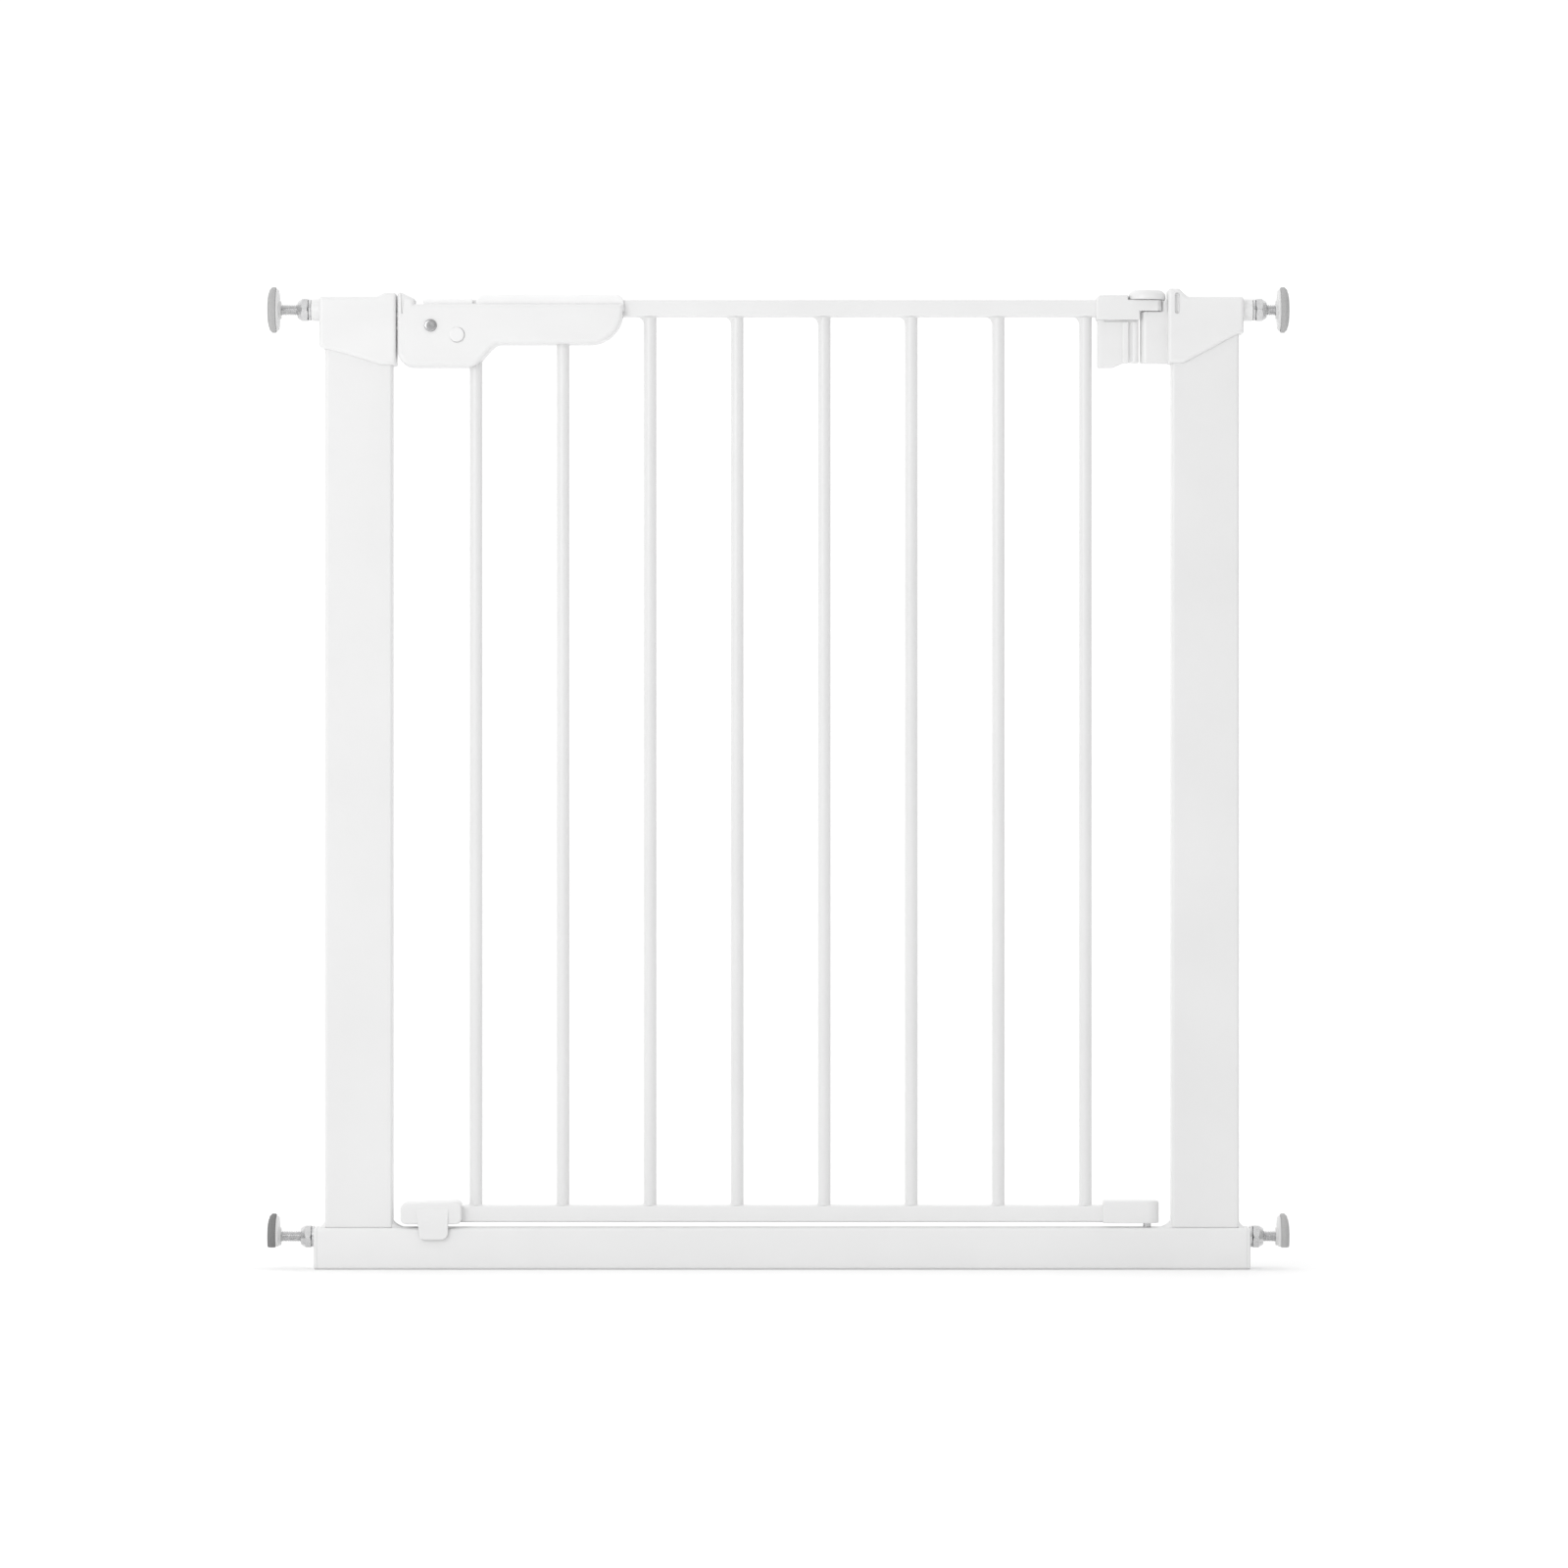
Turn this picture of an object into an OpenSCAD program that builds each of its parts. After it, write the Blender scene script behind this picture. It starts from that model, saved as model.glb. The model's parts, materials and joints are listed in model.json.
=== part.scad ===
// Pressure-fit safety gate: a welded U frame held between two walls by four
// threaded spindles, with a barred door that lifts, swings and locks.
// X runs along the gate, Y towards the back, Z up. The origin is the centre
// of the bottom rail's underside. Every length is in millimetres.

/* [Frame] */
// Length of the bottom rail's tube, without its end plugs
rail_len = 693.2; // [690:0.1:694]
// Height of the bottom rail
rail_h = 31; // [30:0.5:34]
// Front-to-back depth of the bottom rail
rail_d = 25; // [22:0.5:25]
// Wall thickness of the bottom rail
rail_wall = 1.5; // [1:0.1:1.6]
// Thickness of the flange on each rail end plug
plug_flange = 2.4; // [2:0.1:3]
// Distance of each post's middle from the gate's middle
post_mid = 315.5; // [315:0.1:316]
// Width of a post, seen from the front
post_w = 50.4; // [50:0.1:51]
// Front-to-back depth of a post
post_d = 20; // [18:0.5:20]
// Wall thickness of a post
post_wall = 1.2; // [1:0.1:1.5]
// Height of the weld fillets at the foot of each post
foot_weld = 4.8; // [3:0.1:5]

/* [Spindles] */
// Height of the upper spindles' axis
spindle_top_z = 715.7; // [715:0.1:716]
// Height of the lower spindles' axis
spindle_bottom_z = 24; // [23:0.1:24.5]
// Diameter of the threaded rods
rod_d = 8; // [7.8:0.1:8]
// Length of the threaded rods
rod_len = 62; // [56:1:62]
// Distance of the left wall pads' outer faces from the gate's middle
pad_face_left = 383.8; // [382:0.1:386]
// Distance of the right wall pads' outer faces from the gate's middle
pad_face_right = 378.3; // [377:0.1:386]
// Diameter of a wall pad
pad_d = 34; // [32:0.5:36]
// Thickness of a wall pad at its middle
pad_t = 6.2; // [5.8:0.1:6.5]
// Width across the flats of the adjusting nuts
nut_af = 16; // [15:0.1:16.5]
// Length of the adjusting nuts
nut_len = 8; // [7:0.1:8]

/* [Door] */
// Number of upright bars
bar_count = 8; // [8:1:8]
// Distance from one bar to the next
bar_pitch = 65; // [64.8:0.1:65]
// Diameter of the bars
bar_d = 9.4; // [9:0.1:9.6]
// Side of the square tubes across the top and the bottom of the door
door_tube = 12.5; // [12:0.1:12.6]
// Height of the underside of the door's bottom tube
door_bottom_z = 34.8; // [34.6:0.1:35]
// Height of the underside of the door's top tube
door_top_z = 710.4; // [710:0.1:710.5]
// Distance of the hinge axis from the gate's middle
hinge_x = 272.5; // [272.4:0.1:272.6]

/* [Handle] */
// Height of the underside of the handle's grip
grip_z = 689.9; // [688:0.1:691]
// Height of the underside of the handle's lock housing
lump_z = 672.9; // [672:0.1:674]
// Front-to-back depth of the handle
handle_d = 30; // [29:0.5:32]
// Wall thickness of the handle's shells
shell_t = 2; // [1.8:0.1:2.2]
// Distance that the lock slides
lock_travel = 6; // [5:0.1:6]

/* [Hidden] */

$fn = 64;
eps = 0.01;            // how far a cut runs past the face that it opens
LEFT = -1;
RIGHT = 1;

white = [0.95, 0.95, 0.945];
plastic_white = [0.96, 0.96, 0.955];
zinc = [0.78, 0.79, 0.8];
grey_rubber = [0.7, 0.7, 0.7];
dark_rubber = [0.42, 0.42, 0.42];

// clearances
slip = 0.3;            // between a rod and the hole that it only passes through
pin_gap = 0.05;        // between a pin or a thread and the hole that it turns in
fit_gap = 0.1;         // between two pieces that are pushed together

// frame
plug_end = rail_len / 2 + plug_flange;
housing_end = 351.5;   // outer end of a top housing's sleeve
housing_inner = 287.6; // inner end of a top housing
housing_d = 26;
post_top = 700;
sleeve_r = 8.2;
keeper_size = [12.4, 15, 12.8];
keeper_z = 700.8;

// spindles
washer_t = 2;
washer_d = 16;
pad_rim = 3.7;
base_t = 2;
base_d = 31;
hub_d = 13.7;
hub_len = 1.6;

// latch bolt
bolt_z = 704;
bolt_h = 6;
bolt_d = 8;
bolt_tip = -286;

// upper hinge
arm_z = 707.9;
arm_top = 722.8;
arm_end = 284;
arm_half = 8.5;        // half the arm's depth
cap_z = 723.1;
step_x = 266.6;        // where the arm's underside steps up over the lug
step_z = 714.6;        // underside of the arm's round end
lug_r = 5.2;
lug_top = 714.2;
pin_d = 4.8;

// lower hinge
lower_pin_r = 3;
bush_r = 5.5;

// door
tube_wall = 1.2;
rail_left = -236;
rail_right = 250;
bars = [for (i = [0 : bar_count - 1]) -(bar_count - 1) * bar_pitch / 2 - 1 + i * bar_pitch];
bar_bottom = door_bottom_z + door_tube;
bar_len = door_top_z - bar_bottom;

// handle
slide_half = 9;        // half the lock slide's depth
shell_top = 719.4;
rivet_at = [-261.7, 703.2];
boss_at = [-242.3, 696.5];
screws_at = [boss_at, [-188, 699], [-140, 701]];
screw_hole_r = 1.55;
rivet_r = 2.5;

// ---- shared shapes ----

// a rectangle with round corners
module round_rect(w, h, r) {
    square([w - 2 * r, h], center = true);
    square([w, h - 2 * r], center = true);
    for (x = [-1, 1], y = [-1, 1])
        translate([x * (w / 2 - r), y * (h / 2 - r)]) circle(r);
}

// a hollow section, upright, with its outside corners rounded
module tube_section(w, h, wall, r, length) {
    linear_extrude(length) difference() {
        round_rect(w, h, r);
        square([w - 2 * wall, h - 2 * wall], center = true);
    }
}

// a box between two corners
module span(low, high) {
    translate(low) cube(high - low);
}

// a cylinder along X from x0 to x1 at height z
module x_cylinder(x0, x1, z, r) {
    translate([x0, 0, z]) rotate([0, 90, 0]) cylinder(r = r, h = x1 - x0);
}

// a cylinder along Y from y0 to y1
module y_cylinder(at, y0, y1, r) {
    translate([at[0], y0, at[1]]) rotate([-90, 0, 0]) cylinder(r = r, h = y1 - y0);
}

// an outline in X and Z, drawn out along Y from y0 to y1
module xz_plate(y0, y1) {
    translate([0, y1, 0]) rotate([90, 0, 0]) linear_extrude(y1 - y0) children();
}

// mirrors its children to the gate's left side
module to_side(side) {
    if (side == LEFT) mirror([1, 0, 0]) children();
    else children();
}

// the points of an arc
function arc(centre, r, from, to, steps = 8) = [
    for (i = [0 : steps])
        let (a = from + (to - from) * i / steps)
        centre + r * [cos(a), sin(a)]
];

// the points of a smooth step from one point to another
function s_curve(from, to, steps = 12) = [
    for (i = [0 : steps])
        let (t = i / steps, rise = (1 - cos(180 * t)) / 2)
        [from[0] + (to[0] - from[0]) * t, from[1] + (to[1] - from[1]) * rise]
];

// ---- frame ----

module bottom_rail() {
    color(white) difference() {
        rotate([90, 0, 90]) translate([0, rail_h / 2, -rail_len / 2])
            tube_section(rail_d, rail_h, rail_wall, 2.5, rail_len);
        translate([hinge_x, 0, rail_h - rail_wall - eps])
            cylinder(r = bush_r + eps, h = rail_wall + 2 * eps);
    }
}

module post(side) {
    color(white) difference() {
        translate([side * post_mid, 0, rail_h])
            tube_section(post_w, post_d, post_wall, 2, post_top - rail_h);
        for (at = housing_screw_places())
            y_cylinder([side * at[0], at[1]], 0, post_d, 1.75);
    }
}

module left_post() { post(LEFT); }
module right_post() { post(RIGHT); }

// a hollow fillet between an upright face at x and the rail's top, growing towards dir
module foot_fillet(x, dir, w) {
    lip = 0.5;
    xz_plate(-post_d / 2 + 1, post_d / 2 - 1) polygon([
        for (p = concat([[0, 0], [w, 0]],
            [for (a = [90 : -15 : 0]) [w - (w - lip) * cos(a), foot_weld - (foot_weld - lip) * sin(a)]],
            [[0, foot_weld]]))
            [x + dir * p[0], rail_h + p[1]]]);
}

module post_welds() {
    inner_w = 7.6;
    color(white) for (side = [LEFT, RIGHT]) {
        foot_fillet(side * (post_mid + post_w / 2), side, foot_weld);
        foot_fillet(side * (post_mid - post_w / 2), -side, inner_w);
    }
}

module rail_plug(side) {
    color(plastic_white) to_side(side) difference() {
        union() {
            rotate([90, 0, 90]) translate([0, rail_h / 2, rail_len / 2])
                linear_extrude(plug_flange) round_rect(rail_d, rail_h, 2.5);
            rotate([90, 0, 90]) translate([0, rail_h / 2, rail_len / 2 - 12])
                linear_extrude(12) square([rail_d - 2 * rail_wall - 2 * fit_gap,
                    rail_h - 2 * rail_wall - 2 * fit_gap], center = true);
        }
        x_cylinder(rail_len / 2 - 13, plug_end + 1, spindle_bottom_z, rod_d / 2 + slip);
    }
}

module left_rail_plug() { rail_plug(LEFT); }
module right_rail_plug() { rail_plug(RIGHT); }

// undersides of the two housings, from the inner end to the outer face
left_underside = [[housing_inner, 673.9], [297, 673.9], [300.7, 674.9], [324.7, 681.9],
    [341.4, 686], [344, 687.2], [345, 688.8]];
right_underside = [[housing_inner, 675.4], [298.6, 675.4], [301, 676.6], [338.6, 696.6],
    [341, 697.4], [342.8, 697.4], [344, 698.6]];

// a housing's outline, on the right: collar at its inner end, flat face at its outer end
module housing_outline(collar_z, underside) {
    outer_x = underside[len(underside) - 1][0];
    polygon(concat(
        underside,
        [[outer_x, 724], [outer_x - 1, 725], [305, 725]],
        [[301, 725.9], [298, collar_z - 1.2], [295.6, collar_z]],
        [[291, collar_z], [housing_inner, collar_z - 2]]
    ));
}

function housing_screw_places() = [[299, 685], [323, 694]];

module top_housing(side, collar_z, underside) {
    color(plastic_white) to_side(side) difference() {
        union() {
            difference() {
                xz_plate(-housing_d / 2, housing_d / 2) housing_outline(collar_z, underside);
                // socket for the post, and the hollow above it
                span([post_mid - post_w / 2 - fit_gap, -post_d / 2 - fit_gap, 670],
                     [post_mid + post_w / 2 + fit_gap, post_d / 2 + fit_gap, post_top]);
                span([305, -10.5, post_top - eps], [340, 10.5, 722.6]);
            }
            x_cylinder(304, housing_end, spindle_top_z, sleeve_r - 1.8);
            x_cylinder(341, housing_end, spindle_top_z, sleeve_r);
        }
        x_cylinder(300.4, housing_end + 1, spindle_top_z, rod_d / 2 + slip);
        for (at = housing_screw_places()) y_cylinder(at, 5, 14, 1.8);
        children();
    }
}

module left_top_housing() {
    top_housing(LEFT, 728, left_underside)
        span([housing_inner - 1, -keeper_size[1] / 2, keeper_z],
             [housing_inner + keeper_size[0], keeper_size[1] / 2, keeper_z + keeper_size[2]]);
}

module right_top_housing() {
    groove_depth = 3;
    top_housing(RIGHT, 731, right_underside) {
        finger_groove(-housing_d / 2 - 1, -housing_d / 2 + groove_depth);
        finger_groove(housing_d / 2 - groove_depth, housing_d / 2 + 1);
    }
}

// an upright groove below the right housing's collar
module finger_groove(y0, y1) {
    xz_plate(y0, y1) translate([housing_inner + 6.9, 720]) round_rect(3.9, 15.9, 1.9);
}

// the latch bolt's pocket, let into the left housing's inner end
module latch_keeper() {
    pocket_gap = 0.5;
    color(zinc) difference() {
        span([-housing_inner - keeper_size[0], -keeper_size[1] / 2, keeper_z],
             [-housing_inner, keeper_size[1] / 2, keeper_z + keeper_size[2]]);
        span([-housing_inner - lock_travel - 2.2, -bolt_d / 2 - pocket_gap, bolt_z - pocket_gap],
             [-housing_inner + 1, bolt_d / 2 + pocket_gap, bolt_z + bolt_h + pocket_gap]);
    }
}

// the lug on the right housing that holds the upper hinge pin
module hinge_socket() {
    lug_bottom = 675.6;
    color(plastic_white) difference() {
        union() {
            translate([hinge_x, 0, lug_bottom]) cylinder(r = lug_r, h = lug_top - lug_bottom);
            span([hinge_x, -lug_r, lug_bottom], [housing_inner, lug_r, lug_top]);
            // web just clear of the arm's round end
            span([arm_end + 0.4, -lug_r, lug_top - 1], [housing_inner, lug_r, arm_top - 0.2]);
        }
        translate([hinge_x, 0, 678.5]) cylinder(r = pin_d / 2 + pin_gap, h = 40);
    }
}

module housing_screws(side) {
    color(zinc) to_side(side) for (at = housing_screw_places()) {
        y_cylinder(at, 5, housing_d / 2, 1.7);
        y_cylinder(at, housing_d / 2, housing_d / 2 + 1.6, 3.3);
    }
}

module left_housing_screws() { housing_screws(LEFT); }
module right_housing_screws() { housing_screws(RIGHT); }

module lower_hinge_bush() {
    bush_bottom = 11;
    color(plastic_white) translate([hinge_x, 0, bush_bottom]) difference() {
        cylinder(r = bush_r, h = rail_h - bush_bottom);
        translate([0, 0, -1]) cylinder(r = lower_pin_r + pin_gap, h = rail_h);
    }
}

// ---- spindles: face is how far the frame's end is from the gate's middle ----

module washer(side, z, face) {
    color(zinc) to_side(side) difference() {
        x_cylinder(face, face + washer_t, z, washer_d / 2);
        x_cylinder(face - 1, face + washer_t + 1, z, rod_d / 2 + slip);
    }
}

module washer_top_left() { washer(LEFT, spindle_top_z, housing_end); }
module washer_top_right() { washer(RIGHT, spindle_top_z, housing_end); }
module washer_bottom_left() { washer(LEFT, spindle_bottom_z, plug_end); }
module washer_bottom_right() { washer(RIGHT, spindle_bottom_z, plug_end); }

module spindle_rod(side, z, pad_face) {
    base_face = pad_face - pad_t;
    color(zinc) to_side(side)
        x_cylinder(base_face - rod_len, base_face, z, rod_d / 2);
}

module spindle_rod_top_left() { spindle_rod(LEFT, spindle_top_z, pad_face_left); }
module spindle_rod_top_right() { spindle_rod(RIGHT, spindle_top_z, pad_face_right); }
module spindle_rod_bottom_left() { spindle_rod(LEFT, spindle_bottom_z, pad_face_left); }
module spindle_rod_bottom_right() { spindle_rod(RIGHT, spindle_bottom_z, pad_face_right); }

// the lower pads and their bases are cut flat below, to clear the floor
module floor_cut(z, depth) {
    if (z < 100) span([300, -30, z - 30], [400, 30, z - depth]);
}

module pad_base(side, z, pad_face) {
    face = pad_face - pad_t;
    color(plastic_white) to_side(side) difference() {
        union() {
            x_cylinder(face - base_t, face, z, base_d / 2);
            x_cylinder(face - base_t - hub_len, face - base_t, z, hub_d / 2);
        }
        x_cylinder(face - 20, face + 1, z, rod_d / 2);
        floor_cut(z, 6.85);
    }
}

module pad_base_top_left() { pad_base(LEFT, spindle_top_z, pad_face_left); }
module pad_base_top_right() { pad_base(RIGHT, spindle_top_z, pad_face_right); }
module pad_base_bottom_left() { pad_base(LEFT, spindle_bottom_z, pad_face_left); }
module pad_base_bottom_right() { pad_base(RIGHT, spindle_bottom_z, pad_face_right); }

module wall_pad(side, z, pad_face) {
    land_r = 8;
    color(z < 100 && side == LEFT ? dark_rubber : grey_rubber) to_side(side) difference() {
        translate([pad_face - pad_t, 0, z]) rotate([0, 90, 0]) rotate_extrude()
            polygon([[0, 0], [pad_d / 2 - 0.6, 0], [pad_d / 2, 0.6], [pad_d / 2, pad_rim - 1],
                [pad_d / 2 - 1.2, pad_rim], [13, 5.2], [land_r, pad_t], [0, pad_t]]);
        floor_cut(z, 7.4);
    }
}

module wall_pad_top_left() { wall_pad(LEFT, spindle_top_z, pad_face_left); }
module wall_pad_top_right() { wall_pad(RIGHT, spindle_top_z, pad_face_right); }
module wall_pad_bottom_left() { wall_pad(LEFT, spindle_bottom_z, pad_face_left); }
module wall_pad_bottom_right() { wall_pad(RIGHT, spindle_bottom_z, pad_face_right); }

// a hexagon with a cone turned on its outer end
module adjusting_nut(side, z, face) {
    start = face + washer_t + 0.15;
    corner_r = nut_af / 2 / cos(30);
    color(zinc) to_side(side) translate([start, 0, z]) rotate([0, 90, 0]) difference() {
        intersection() {
            rotate([0, 0, 30]) cylinder(r = corner_r, h = nut_len, $fn = 6);
            rotate_extrude() polygon([[0, 0], [corner_r - 0.4, 0], [corner_r + 0.1, 0.5],
                [corner_r + 0.1, 4.2], [6.3, nut_len], [0, nut_len]]);
        }
        translate([0, 0, -1]) cylinder(r = rod_d / 2 + pin_gap, h = nut_len + 2);
    }
}

module adjusting_nut_top_left() { adjusting_nut(LEFT, spindle_top_z, housing_end); }
module adjusting_nut_top_right() { adjusting_nut(RIGHT, spindle_top_z, housing_end); }
module adjusting_nut_bottom_left() { adjusting_nut(LEFT, spindle_bottom_z, plug_end); }
module adjusting_nut_bottom_right() { adjusting_nut(RIGHT, spindle_bottom_z, plug_end); }

// ---- hinge carrier ----

module upper_hinge_pin() {
    color(zinc) translate([hinge_x, 0, 680]) cylinder(r = pin_d / 2, h = 47);
}

module hinge_cap() {
    color(plastic_white) translate([hinge_x, 0, 0]) difference() {
        rotate_extrude() polygon(concat(
            [[0, cap_z], [13.4, cap_z], [13.9, cap_z + 0.5], [13.9, cap_z + 2.3]],
            arc([8.9, cap_z + 2.3], 5, 12, 90, 6),
            [[0, cap_z + 7.3]]));
        cylinder(r = pin_d / 2 + eps, h = 727);
    }
}

// ---- door ----

module door_tube_along(x0, x1, z) {
    color(white) translate([x0, 0, z + door_tube / 2]) rotate([90, 0, 90])
        tube_section(door_tube, door_tube, tube_wall, 1.5, x1 - x0);
}

module door_top_rail() { door_tube_along(rail_left, rail_right, door_top_z); }
module door_bottom_rail() { door_tube_along(-276, 262, door_bottom_z); }

module bar(i) {
    color(white) translate([bars[i], 0, bar_bottom]) cylinder(r = bar_d / 2, h = bar_len);
}

module bar_1() { bar(0); }
module bar_2() { bar(1); }
module bar_3() { bar(2); }
module bar_4() { bar(3); }
module bar_5() { bar(4); }
module bar_6() { bar(5); }
module bar_7() { bar(6); }
module bar_8() { bar(7); }

// weld beads on the left of each bar: a larger one at the top, a small one below
module bar_welds() {
    module bead(x, z, up, size) {
        difference() {
            xz_plate(-1.6, 1.6) translate([x - bar_d / 2, z]) scale([-1, up])
                polygon(concat([[-2, 0]], arc([size, size * 1.1], size, 270, 180, 6), [[-2, size * 1.1]]));
            translate([x, 0, z - 20]) cylinder(r = bar_d / 2, h = 40);
        }
    }
    color(white) for (x = bars) {
        bead(x, door_top_z, -1, 5.6);
        bead(x, bar_bottom, 1, 2.4);
    }
}

// saddle on the door's lower left corner, with a stop tab in front of the frame's rail
module lower_catch_cap() {
    color(plastic_white) difference() {
        union() {
            xz_plate(-15.2, 10) polygon(concat(
                arc([-280.2, 37.8], 4, 180, 270, 4), arc([-242.8, 37.8], 4, 270, 360, 4),
                arc([-242.8, 47], 4, 0, 90, 4), arc([-280.2, 45.2], 4, 90, 180, 4)));
            // the tab's top slopes back into the saddle's front
            intersection() {
                xz_plate(-17, -13.3) polygon(concat(
                    arc([-267.6, 24.4], 2, 180, 270, 4), arc([-253.7, 27.4], 5, 270, 360, 6),
                    [[-248.7, 48], [-273, 48]]));
                translate([-274, 0, 0]) rotate([90, 0, 90]) linear_extrude(26)
                    polygon([[-13.3, 22], [-16.8, 22], [-16.8, 36], [-15.2, 47.8], [-13.3, 47.8]]);
            }
        }
        span([-276 - fit_gap, -door_tube / 2, door_bottom_z], [-230, door_tube / 2, bar_bottom]);
    }
}

module lower_hinge_cap() {
    end_r = 8.8;
    color(plastic_white) difference() {
        intersection() {
            union() {
                translate([hinge_x, 0, 34.3]) cylinder(r = end_r, h = 16.7);
                span([239.3, -end_r, 34.3], [hinge_x, end_r, 51]);
            }
            xz_plate(-20, 20) translate([258.8, 40.5]) round_rect(45, 21, 3);
        }
        span([230, -door_tube / 2, 30], [262 + fit_gap, door_tube / 2, bar_bottom]);
        translate([hinge_x, 0, 30]) cylinder(r = lower_pin_r + eps, h = 17);
    }
}

module lower_hinge_pin() {
    color(zinc) translate([hinge_x, 0, 13]) cylinder(r = lower_pin_r, h = 33);
}

// block on the door's upper right corner: it turns on the pin, and a skirt hangs below
module upper_hinge_arm() {
    end_r = arm_end - hinge_x;
    end_angle = asin(arm_half / end_r);
    color(plastic_white) difference() {
        union() {
            // the arm, its end rounded about the hinge axis
            translate([0, 0, step_z]) linear_extrude(arm_top - step_z) polygon(concat(
                [[246, arm_half], [246, -arm_half]],
                arc([hinge_x, 0], end_r, -end_angle, end_angle, 16)));
            span([246, -arm_half, arm_z], [step_x, arm_half, step_z + 1]);
            xz_plate(-arm_half, arm_half) polygon(concat(
                [[234.2, arm_z], [258.2, arm_z], [258.2, 726.5]],
                arc([238.2, 722.5], 4, 90, 180, 6)));
            // skirt: a panel, a proud rib, a groove and a round-faced column
            xz_plate(-5.2, 5.2) polygon([[235.4, arm_z + 1], [235.4, 672.4], [246.2, 672.4],
                [254.7, 676], [256, 676], [256, arm_z + 1]]);
            span([254, -7, 676], [258.5, 7, arm_z + 1]);
            span([256, -4.5, 676], [262, 4.5, arm_z + 1]);
            translate([263.25, 0, 676]) linear_extrude(arm_z + 1 - 676) round_rect(5.5, 12, 2.7);
        }
        span([230, -door_tube / 2, door_top_z], [rail_right, door_tube / 2, door_top_z + door_tube]);
        translate([hinge_x, 0, arm_z - 1]) cylinder(r = pin_d / 2 + pin_gap, h = 30);
        y_cylinder([242, 716.6], door_tube / 2 - 1, arm_half + 1, 1.8);
    }
}

module hinge_arm_screw() {
    color(zinc) {
        y_cylinder([242, 716.6], door_tube / 2, arm_half, 1.7);
        y_cylinder([242, 716.6], arm_half, arm_half + 1.6, 3.3);
    }
}

// ---- handle ----

// outline of the handle: flange, lock housing, grip and open right end
module handle_outline() {
    polygon(concat(
        [[-285.3, 728.3], [-286.2, 727.3]],
        arc([-275.2, lump_z + 11], 11, 180, 270, 8),
        s_curve([-232, lump_z], [-210, grip_z]),
        arc([-143.5, grip_z + 25], 25, 270, 350, 10),
        [[-118.3, 711.5], [-118.3, shell_top]],
        [[-273.8, shell_top], [-273.8, 723.4], [-284.7, 728.3]]
    ));
}

// one half of the handle: side is -1 for the front, 1 for the back
module handle_shell(side) {
    half = handle_d / 2;
    low = side < 0 ? -half : 0;
    inner_low = side < 0 ? -half + shell_t : -1;
    inner_high = side < 0 ? 1 : half - shell_t;
    color(plastic_white) difference() {
        union() {
            difference() {
                xz_plate(low, low + half) handle_outline();
                xz_plate(inner_low, inner_high)
                    offset(delta = -shell_t) handle_outline();
            }
            // bosses that the screws and the rivet run through
            for (at = screws_at) shell_boss(at, side, 3.6);
            shell_boss(rivet_at, side, 4.2);
        }
        // channel for the lock slide, from the flange to the open end
        span([-273.6, -slide_half - slip, shell_top - 3], [-110, slide_half + slip, 730]);
        span([-125, -slide_half - slip, 709.9], [-110, slide_half + slip, 730]);
        // window for the latch bolt
        span([-290, -bolt_d / 2 - 0.4, bolt_z - 0.4], [-280, bolt_d / 2 + 0.4, bolt_z + bolt_h + 0.4]);
        // holes for the two bars that run up into the grip
        for (x = [bars[0], bars[1]])
            translate([x, 0, 660]) cylinder(r = bar_d / 2 + fit_gap, h = 50);
        y_cylinder(rivet_at, -half - 1, half + 1, rivet_r + eps);
        for (at = screws_at) y_cylinder(at, -half + shell_t, half + 1, screw_hole_r);
        // wedge-shaped recess behind the flange
        if (side < 0) xz_plate(-half - 1, -half + 1.4)
            polygon([[-284.2, 729], [-280.4, 729], [-282.7, 712], [-283.5, 712]]);
    }
}

// a boss stands from its shell's wall almost to the parting face
module shell_boss(at, side, r) {
    half = handle_d / 2;
    if (side < 0) y_cylinder(at, -half + 1, -0.1, r);
    else y_cylinder(at, 0.1, half - 1, r);
}

module handle_front_shell() { handle_shell(-1); }
module handle_back_shell() { handle_shell(1); }

module handle_rivet() {
    half = handle_d / 2;
    color(zinc) {
        y_cylinder(rivet_at, -half, half, rivet_r);
        y_cylinder(rivet_at, -half - 1.4, -half, 4.65);
        y_cylinder(rivet_at, half, half + 1.4, 4.65);
    }
}

module handle_boss_cap() {
    color(plastic_white) y_cylinder(boss_at, -handle_d / 2 - 1, -handle_d / 2, 5.5);
}

module handle_screws() {
    half = handle_d / 2;
    color(zinc) for (at = screws_at) {
        y_cylinder(at, -half + shell_t + 1, half, screw_hole_r - eps);
        y_cylinder(at, half, half + 1.6, 3.3);
    }
}

// ---- lock ----

// a channel that rides on the door's top tube: a box on the left, a thumb strip on the right
module lock_slide() {
    cheek = 6.65;          // inside of the two cheeks that straddle the tube
    cheek_z = 714;
    strip_z = door_top_z + door_tube + 0.4;
    strip_left = -228.4;
    strip_right = -117.9;
    color(plastic_white) difference() {
        union() {
            span([-267.2, -slide_half, 712.2], [rail_left - 0.8, slide_half, 723.6]);
            for (s = [-1, 1]) {
                low = s < 0 ? -slide_half : cheek;
                span([rail_left - 1, low, cheek_z], [-230.6, low + slide_half - cheek, 723.6]);
                span([-231, low, cheek_z], [strip_left + 1, low + slide_half - cheek, 720]);
                span([strip_left, low, cheek_z], [strip_right, low + slide_half - cheek, strip_z + 0.2]);
            }
            xz_plate(-slide_half, slide_half) polygon(concat(
                [[strip_left, strip_z], [strip_left, 724], [-226.9, 726.3], [-225, 727]],
                arc([-125, 719.9], 7.1, 90, 29, 6),
                [[strip_right, strip_z]]));
        }
        // groove for the bolt's tongue
        span([-268, -2.6, 712], [-251.8, 2.6, 716.1]);
    }
}

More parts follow.
